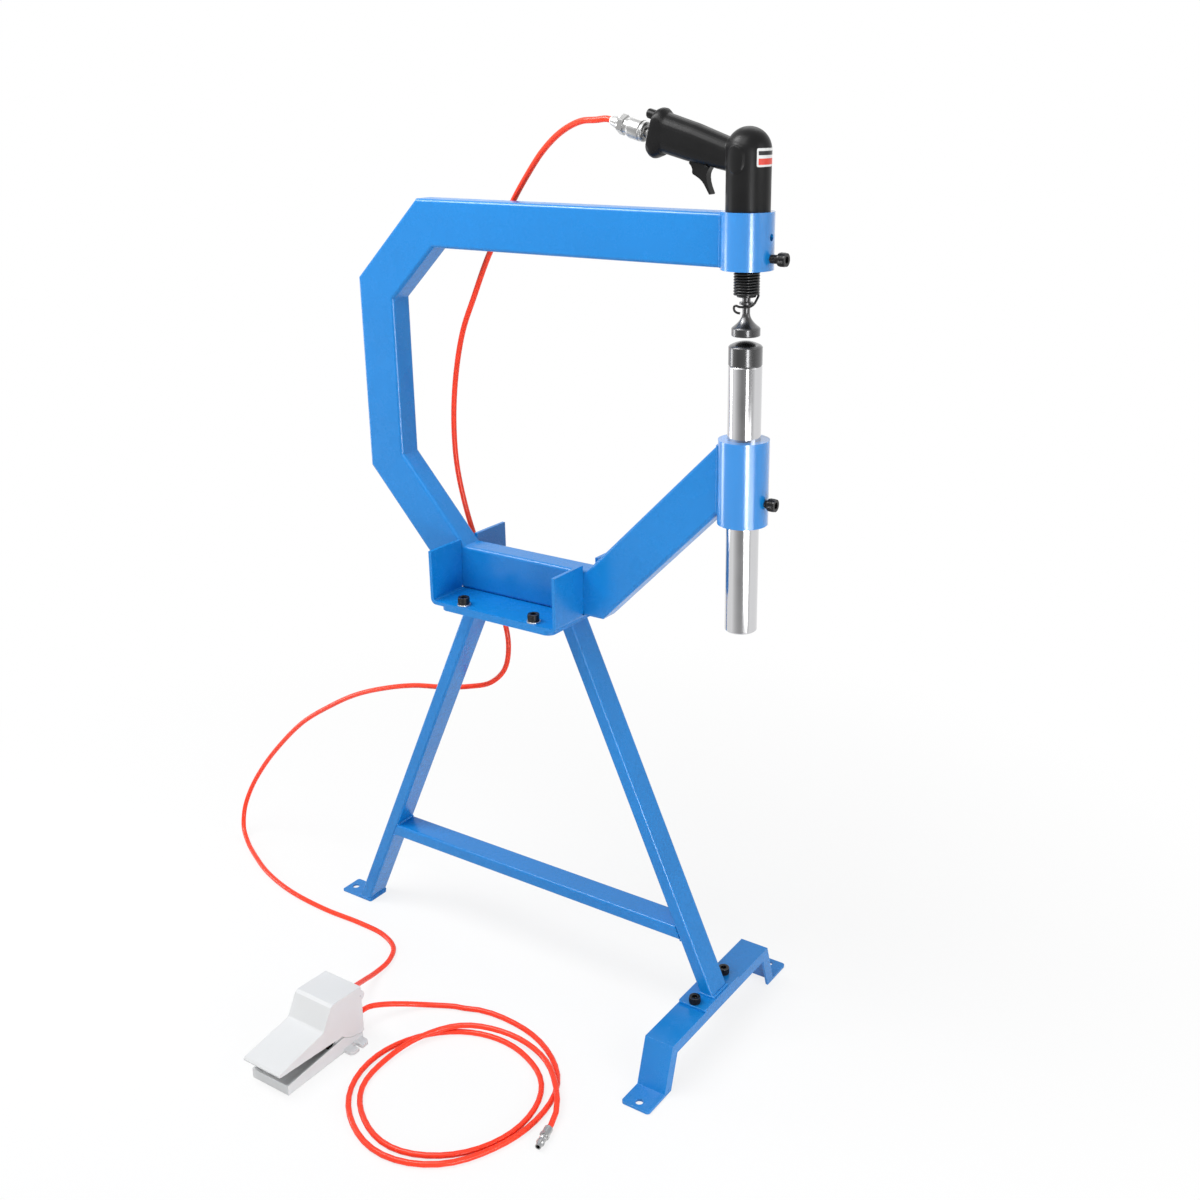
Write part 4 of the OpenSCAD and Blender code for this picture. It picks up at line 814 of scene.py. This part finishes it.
class PLANISHER_OT_housing(bpy.types.Operator):
    """Casts the hammer's housing in one piece, with blended corners"""

    bl_idname = "planisher.housing"
    bl_label = "Housing"

    def execute(self, context):
        made = finish_node("hammer_housing", "housing", name="housing", weigh=False)
        remesh = made.modifiers.new("Cast", "REMESH")
        remesh.mode = "VOXEL"
        remesh.voxel_size = 0.0009
        smooth = made.modifiers.new("Soften", "SMOOTH")
        smooth.iterations = 5
        smooth.factor = 0.5
        depsgraph = context.evaluated_depsgraph_get()
        mesh = bpy.data.meshes.new_from_object(made.evaluated_get(depsgraph), depsgraph=depsgraph)
        made.modifiers.clear()
        made.data = mesh
        mesh.polygons.foreach_set("use_smooth", [True] * len(mesh.polygons))
        cover(mesh, finishes()["housing"])
        self.cross_pin(mesh)
        return {"FINISHED"}

    def cross_pin(self, mesh):
        """The valve's cross pin shows as a small dimple on both sides of the grip, painted near-black as
        its shade.
        """
        work = bmesh.new()
        work.from_mesh(mesh)
        tree = BVHTree.FromBMesh(work)
        work.free()
        outside = 60.0
        profile = [(-0.0006, 0.0), (-0.0006, 0.0013), (0.00005, 0.0013), (0.00025, 0.0010), (0.0001, 0.0)]
        for side, name in ((-1, "grip_pin_near"), (1, "grip_pin_far")):
            start = on_grip(CROSS_PIN[0], side * outside, CROSS_PIN[1])
            hit, normal, _, _ = tree.ray_cast(start, Vector((0, -side, 0)))
            if hit is None:
                raise RuntimeError("the grip has no surface at its cross pin")
            # each pin end is a near-black disc, the painted shade of its dimple
            lathe(name, profile, hit, normal, "bore", 20)


class PLANISHER_OT_panel(bpy.types.Operator):
    """Lays the plain colour panel on the barrel"""

    bl_idname = "planisher.panel"
    bl_label = "Barrel panel"

    def patch(self, name, low, high, half_turn, out, finish, corner=0.6):
        """A thin plate bent round the barrel's front, with rounded corners. Its turn is in degrees."""
        half_w, half_h, mid = math.radians(half_turn) * BARREL_R, (high - low) / 2, (low + high) / 2
        flat = half_w - corner
        steps, thickness = 18, 0.14
        columns = {round(half_w * (k / steps - 1), 4) for k in range(2 * steps + 1)}
        for angle in range(0, 91, 15):
            x = half_w - corner * (1 - math.sin(math.radians(angle)))
            columns |= {round(x, 4), round(-x, 4)}
        columns = sorted(columns)
        points, faces = [], []
        for wall in (out - thickness, out):
            for x in columns:
                inset = max(0.0, abs(x) - flat)
                h = half_h - corner + math.sqrt(max(corner * corner - inset * inset, 0.0))
                a, r = x / BARREL_R, BARREL_R + wall
                for z in (mid - h, mid + h):
                    points.append(at(TOOL_X + r * math.cos(a), r * math.sin(a), z))
        n = 2 * len(columns)
        for a in range(0, n - 2, 2):
            b = n + a
            faces += [(b, b + 2, b + 3, b + 1), (a, a + 1, a + 3, a + 2)]
            faces += [(a + 1, b + 1, b + 3, a + 3), (a, a + 2, b + 2, b)]
        faces += [(0, n, n + 1, 1), (n - 2, n - 1, 2 * n - 1, 2 * n - 2)]
        solid(name, points, faces, finish, angle=40.0)

    def execute(self, context):
        self.patch("barrel_panel", 1220.8, 1241.8, 41.5, 0.16, "panel_white", 2.0)
        self.patch("barrel_panel_bar", 1234.0, 1238.6, 37.0, 0.24, "panel_black")
        self.patch("barrel_panel_stripe", 1223.2, 1230.2, 37.0, 0.24, "panel_red")
        return {"FINISHED"}


class PLANISHER_OT_trigger(bpy.types.Operator):
    """Rounds the trigger and finishes its pin and the regulator's knob"""

    bl_idname = "planisher.trigger"
    bl_label = "Trigger and regulator"

    def execute(self, context):
        finish_node("trigger", "knob", edge=0.0014, segments=3)
        finish_node("regulator_knob", "knob", edge=0.0006)
        half = [(0.0110, 0.0015), (0.0113, 0.0012), (0.0113, 0.0)]
        ends = [(-distance, radius) for distance, radius in reversed(half)] + half
        middle = on_grip(TRIGGER_PIN[0], 0.0, TRIGGER_PIN[1])
        pin = lathe("trigger_pin_flush", ends, middle, (0, 1, 0), "black", 24)
        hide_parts("trigger_pin")
        return {"FINISHED"}


class PLANISHER_OT_coupler(bpy.types.Operator):
    """Finishes the inlet plug, the quick coupler and the hose nut"""

    bl_idname = "planisher.coupler"
    bl_label = "Quick coupler"

    def execute(self, context):
        finish_node("inlet_plug", "plate", edge=0.0003)
        finish_node("coupler_body", "coupler", edge=0.0004)
        finish_node("coupler_sleeve", "coupler", edge=0.0004)
        finish_node("hose_nut", "coupler", edge=0.0003)
        ring = [(-0.0012, 0.0041), (-0.0012, 0.0052), (0.0016, 0.0051), (0.0021, 0.0046), (0.0021, 0.0041)]
        lathe("hose_collar", ring, HOSE_EXIT, HOSE_WAY, "collar_white")
        nut = seeds("nut_seed", [(on_grip(NUT_U, 0, AIR_V), HOSE_WAY)])
        grown("hose_nut_knurl", ridge_grower(), nut, "plate", "frame", Ridges=36,
              Knurl_radius=7.75 * MM, Ridge_length=4.2 * MM)
        return {"FINISHED"}


SPRING_TURN = 33.0
SPRING_TAIL = [
    (13.4, -5.5, -1.6), (11.6, -8.2, -4.4), (9.4, -9.6, -8), (6.2, -9.3, -11.2), (2, -8.4, -12.9),
    (-4, -7.9, -13), (-9.5, -7.2, -12.7), (-12.6, -5.8, -11.6), (-14.8, -4.8, -12.6), (-15.2, -4.6, -15.5),
    (-14, -4.6, -18.4), (-11.2, -4.8, -20.2), (-7.7, -5.2, -20.9),
]


class PLANISHER_OT_spring(bpy.types.Operator):
    """Winds the retainer spring and its tail"""

    bl_idname = "planisher.spring"
    bl_label = "Retainer spring"

    def turned(self, x, y, z, degrees):
        """A point given from the spring's axis, turned about it."""
        a = math.radians(degrees)
        return at(TOOL_X + x * math.cos(a) - y * math.sin(a), x * math.sin(a) + y * math.cos(a), z)

    def execute(self, context):
        top, radius, pitch, turns, steps = 1103.75, 14.65, 3.4, 9.75, 32
        coil = [self.turned(radius, 0.0, top - i / steps * pitch, SPRING_TURN + 360 * (turns - i / steps))
                for i in range(int(steps * turns) + 1)]
        tail = [self.turned(x, y, top - turns * pitch + z, SPRING_TURN) for x, y, z in SPRING_TAIL]
        path = path_mesh("spring_path", [coil[:-1] + through([coil[-1], *tail], 6)])
        made = grown("spring", wire_grower(), path, "black", "frame", Wire_radius=1.45 * MM,
                     Sides=context.scene.planisher_tool.spring_sides)
        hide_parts("retainer_spring")
        return {"FINISHED"}


class PLANISHER_OT_dies(bpy.types.Operator):
    """Finishes the hammer die, the cylinder, the anvil die and its post"""

    bl_idname = "planisher.dies"
    bl_label = "Dies and post"

    def execute(self, context):
        for node, finish, edge in (
            ("hammer_die", "die", 0.0003),
            ("anvil_die", "die", 0.0003),
            ("anvil_post", "post", 0.0004),
            ("hammer_cylinder", "black", 0.0004),
        ):
            finish_node(node, finish, edge, corner=35.0)
        for node in ("piston", "valve_block", "throttle_valve"):
            paint_node(node, "die")
        return {"FINISHED"}


class PLANISHER_OT_fasteners(bpy.types.Operator):
    """Finishes the cap screws, washers and nuts, with knurled heads and threads"""

    bl_idname = "planisher.fasteners"
    bl_label = "Fasteners"

    def execute(self, context):
        for node in ("cradle_bolts", "foot_bolts", "barrel_clamp_screw", "post_clamp_screw"):
            finish_node(node, "black", edge=0.0004)
        for node in ("cradle_washers", "foot_nuts"):
            finish_node(node, "zinc", edge=0.0003)
        up, ahead = Vector((0, 0, 1)), Vector((1, 0, 0))
        heads = {
            "frame": [(at(x, y, 621), up) for x in (-366.8, -242.8) for y in (-73, 73)]
            + [(at(0, y, 78), up) for y in (-41, 41)],
            "barrel_clamp": [(at(89.0, 0, 1115.5), ahead)],
            "post_clamp": [(at(83.0, 0, 813.5), ahead)],
        }
        ridges = context.scene.planisher_tool.knurl_ridges
        for body, places in heads.items():
            grown(body + "_knurl", ridge_grower(), seeds(body + "_heads", places), "black", body,
                  Ridges=ridges, Knurl_radius=7.85 * MM, Ridge_length=6.5 * MM)
        # the threads start just outside the collars and end before the heads
        for body, z, turns in (("barrel_clamp", 1115.5, 6.4), ("post_clamp", 813.5, 2.4)):
            start = seeds(body + "_foot", [(at(74.2, 0, z), ahead)])
            grown(body + "_thread", thread_grower(), start, "black", body,
                  Thread_radius=4.9 * MM, Turns=turns, Thread_pitch=1.5 * MM)
        return {"FINISHED"}


class PLANISHER_OT_foot_valve(bpy.types.Operator):
    """Finishes the foot valve's mouldings, pin, fittings and screws"""

    bl_idname = "planisher.foot_valve"
    bl_label = "Foot valve"

    def execute(self, context):
        finish_node("pedal_treadle", "pedal", edge=0.0010, segments=3)
        finish_node("pedal_base", "pedal", edge=0.0007)
        finish_node("pedal_pivot_pin", "zinc", edge=0.0003)
        finish_node("pedal_valve_body", "knob", edge=0.0006)
        finish_node("pedal_spool", "die", edge=0.0003)
        finish_node("pedal_fittings", "plate", edge=0.0003)
        finish_node("pedal_screws", "zinc", edge=0.0002)
        return {"FINISHED"}


# Studio


class PLANISHER_OT_stage(bpy.types.Operator):
    """Sets up the camera, the lamps, the floor and the surroundings"""

    bl_idname = "planisher.stage"
    bl_label = "Studio"

    def camera(self, context):
        yaw, pitch, roll = 0.57931, 0.31994, -0.00627
        right, sky = Vector((math.cos(yaw), math.sin(yaw), 0.0)), Vector((0, 0, 1))
        level = Vector((-math.sin(yaw), math.cos(yaw), 0.0))
        ahead = level * math.cos(pitch) - sky * math.sin(pitch)
        up = level * math.sin(pitch) + sky * math.cos(pitch)
        side = right * math.cos(roll) + up * math.sin(roll)
        top = up * math.cos(roll) - right * math.sin(roll)
        data = bpy.data.cameras.new("camera")
        data.lens, data.sensor_width = 41.32, 36.0
        data.shift_x, data.shift_y = -0.03515, -0.04262
        data.clip_start, data.clip_end = 0.05, 100.0
        made = linked("camera", data)
        turned = Matrix((side, top, -ahead)).transposed().to_4x4()
        made.matrix_world = Matrix.Translation((0.84894, -1.4681, 1.30331)) @ turned
        context.scene.camera = made

    def lamp(self, name, place, aim, width, height, power, sheen=False):
        """A lamp over width by height at place. One for sheen shows in reflections alone."""
        data = bpy.data.lights.new(name, "AREA")
        data.shape, data.size, data.size_y, data.energy = "RECTANGLE", width, height, power
        made = linked(name, data)
        made.location = place
        made.rotation_mode = "QUATERNION"
        made.rotation_quaternion = (Vector(aim) - Vector(place)).to_track_quat("-Z", "Y")
        made.visible_diffuse = not sheen

    def seen_directly(self, tree):
        """1 where the camera, a mirror or glass looks at the background, and 0 where light bounces."""
        rays = tree.node("ShaderNodeLightPath").outputs
        seen = tree.math("ADD", rays["Is Camera Ray"], rays["Is Glossy Ray"])
        return tree.math("ADD", seen, rays["Is Transmission Ray"], use_clamp=True)

    def pale_floor(self, radius):
        """A white floor that keeps the object's shadow and is wholly white well away from it."""
        made = Finish("floor_pale")
        material = made.set(Base_Color=(0.88, 0.88, 0.88), Roughness=0.9, Specular_IOR_Level=0.1)
        glow = made.node("ShaderNodeEmission", {"Color": (1.0, 1.0, 1.0), "Strength": 1.0})
        middle = {0: made.place, 1: (-0.40, -0.10, 0.0)}
        far = made.node("ShaderNodeVectorMath", middle, operation="DISTANCE").outputs["Value"]
        fade = made.ramp(far, 0.5, 1.5, 0.82, 1.0, interpolation_type="SMOOTHSTEP")
        share = made.math("MULTIPLY", self.seen_directly(made), fade)
        mix = made.node("ShaderNodeMixShader", {0: share, 1: made.shader, 2: glow})
        made.feed(made.tree.nodes["Material Output"].inputs["Surface"], mix)
        work = bmesh.new()
        place = Matrix.Translation((-0.4, 0.0, -0.0008))
        bmesh.ops.create_circle(work, cap_ends=True, segments=96, radius=radius, matrix=place)
        mesh = bpy.data.meshes.new("floor")
        work.to_mesh(mesh)
        work.free()
        cover(mesh, material)
        linked("floor", mesh)

    def world(self, context, level):
        world = bpy.data.worlds.new("studio")
        context.scene.world = world
        world.use_nodes = True
        made = Tree(world.node_tree)
        made.tree.nodes.clear()
        walls = made.node("ShaderNodeBackground", {"Color": (0.97, 0.985, 1.0), "Strength": level})
        white = made.node("ShaderNodeBackground", {"Color": (1.0, 1.0, 1.0), "Strength": 1.0})
        mix = made.node("ShaderNodeMixShader", {0: self.seen_directly(made), 1: walls, 2: white})
        made.node("ShaderNodeOutputWorld", {"Surface": mix})

    def execute(self, context):
        sizes = context.scene.planisher_stage
        key, strip, fill, sheen = sizes.key_power, sizes.strip_power, sizes.fill_power, sizes.sheen_power
        self.camera(context)
        self.pale_floor(sizes.floor_radius)
        self.world(context, sizes.ambient)
        for lamp in (
            ("key", (-0.25, -0.90, 2.15), (-0.15, 0.0, 1.1), 0.9, 0.9, 0.65 * key),
            ("top_left", (-1.25, -0.75, 2.20), (-1.25, 0.55, 0.6), 1.3, 0.8, 1.4 * key),
            ("top_back", (-0.6, 1.6, 3.0), (-0.3, 0.0, 0.7), 1.6, 1.6, 0.5 * key),
            ("strip_left", (-2.26, -0.62, 0.50), (0.04, 0.0, 1.15), 0.55, 0.9, strip),
            ("strip_right", (1.74, -1.70, 0.50), (0.04, 0.0, 1.15), 0.55, 0.9, 1.2 * strip),
            ("low_fill", (1.25, -0.75, 0.35), (-0.3, -0.15, 0.12), 0.9, 0.5, fill),
            ("side_fill", (1.75, 0.10, 1.50), (-0.50, 0.0, 0.95), 1.0, 0.8, 0.9 * fill),
            ("sheen_right", (1.70, -1.66, 0.55), (0.04, 0.0, 1.15), 0.42, 0.9, sheen, True),
            ("sheen_top", (-1.05, -0.60, 2.27), (-1.05, 0.10, 0.90), 0.9, 0.3, 0.75 * sheen, True),
        ):
            self.lamp(*lamp)
        context.scene.view_settings.view_transform = "Standard"
        return {"FINISHED"}


class PLANISHER_PT_panel(bpy.types.Panel):
    """Lists the finishes and their steps"""

    bl_idname = "PLANISHER_PT_panel"
    bl_label = "Planishing hammer"
    bl_space_type = "VIEW_3D"
    bl_region_type = "UI"
    bl_category = "Planisher"

    def draw(self, context):
        for name, kind in GROUPS.items():
            box = self.layout.box()
            for key in kind.__annotations__:
                box.prop(getattr(context.scene, name), key)
        for step in STEPS:
            self.layout.operator(step.bl_idname)


GROUPS = {
    "planisher_frame": FrameFinish,
    "planisher_tool": ToolFinish,
    "planisher_hose": HoseFinish,
    "planisher_pedal": PedalFinish,
    "planisher_stage": StageSizes,
}
STEPS = [
    PLANISHER_OT_stage, PLANISHER_OT_hammer_hose, PLANISHER_OT_supply_hose, PLANISHER_OT_frame,
    PLANISHER_OT_welds, PLANISHER_OT_housing, PLANISHER_OT_panel, PLANISHER_OT_trigger,
    PLANISHER_OT_coupler, PLANISHER_OT_spring, PLANISHER_OT_dies, PLANISHER_OT_fasteners,
    PLANISHER_OT_foot_valve,
]


def register():
    for kind in [*GROUPS.values(), *STEPS, PLANISHER_PT_panel]:
        bpy.utils.register_class(kind)
    for name, kind in GROUPS.items():
        setattr(bpy.types.Scene, name, PointerProperty(type=kind))


def unregister():
    for name in GROUPS:
        delattr(bpy.types.Scene, name)
    for kind in reversed([*GROUPS.values(), *STEPS, PLANISHER_PT_panel]):
        bpy.utils.unregister_class(kind)


def main():
    register()
    for step in STEPS:
        group, name = step.bl_idname.split(".")
        getattr(getattr(bpy.ops, group), name)()


if __name__ == "__main__":
    main()
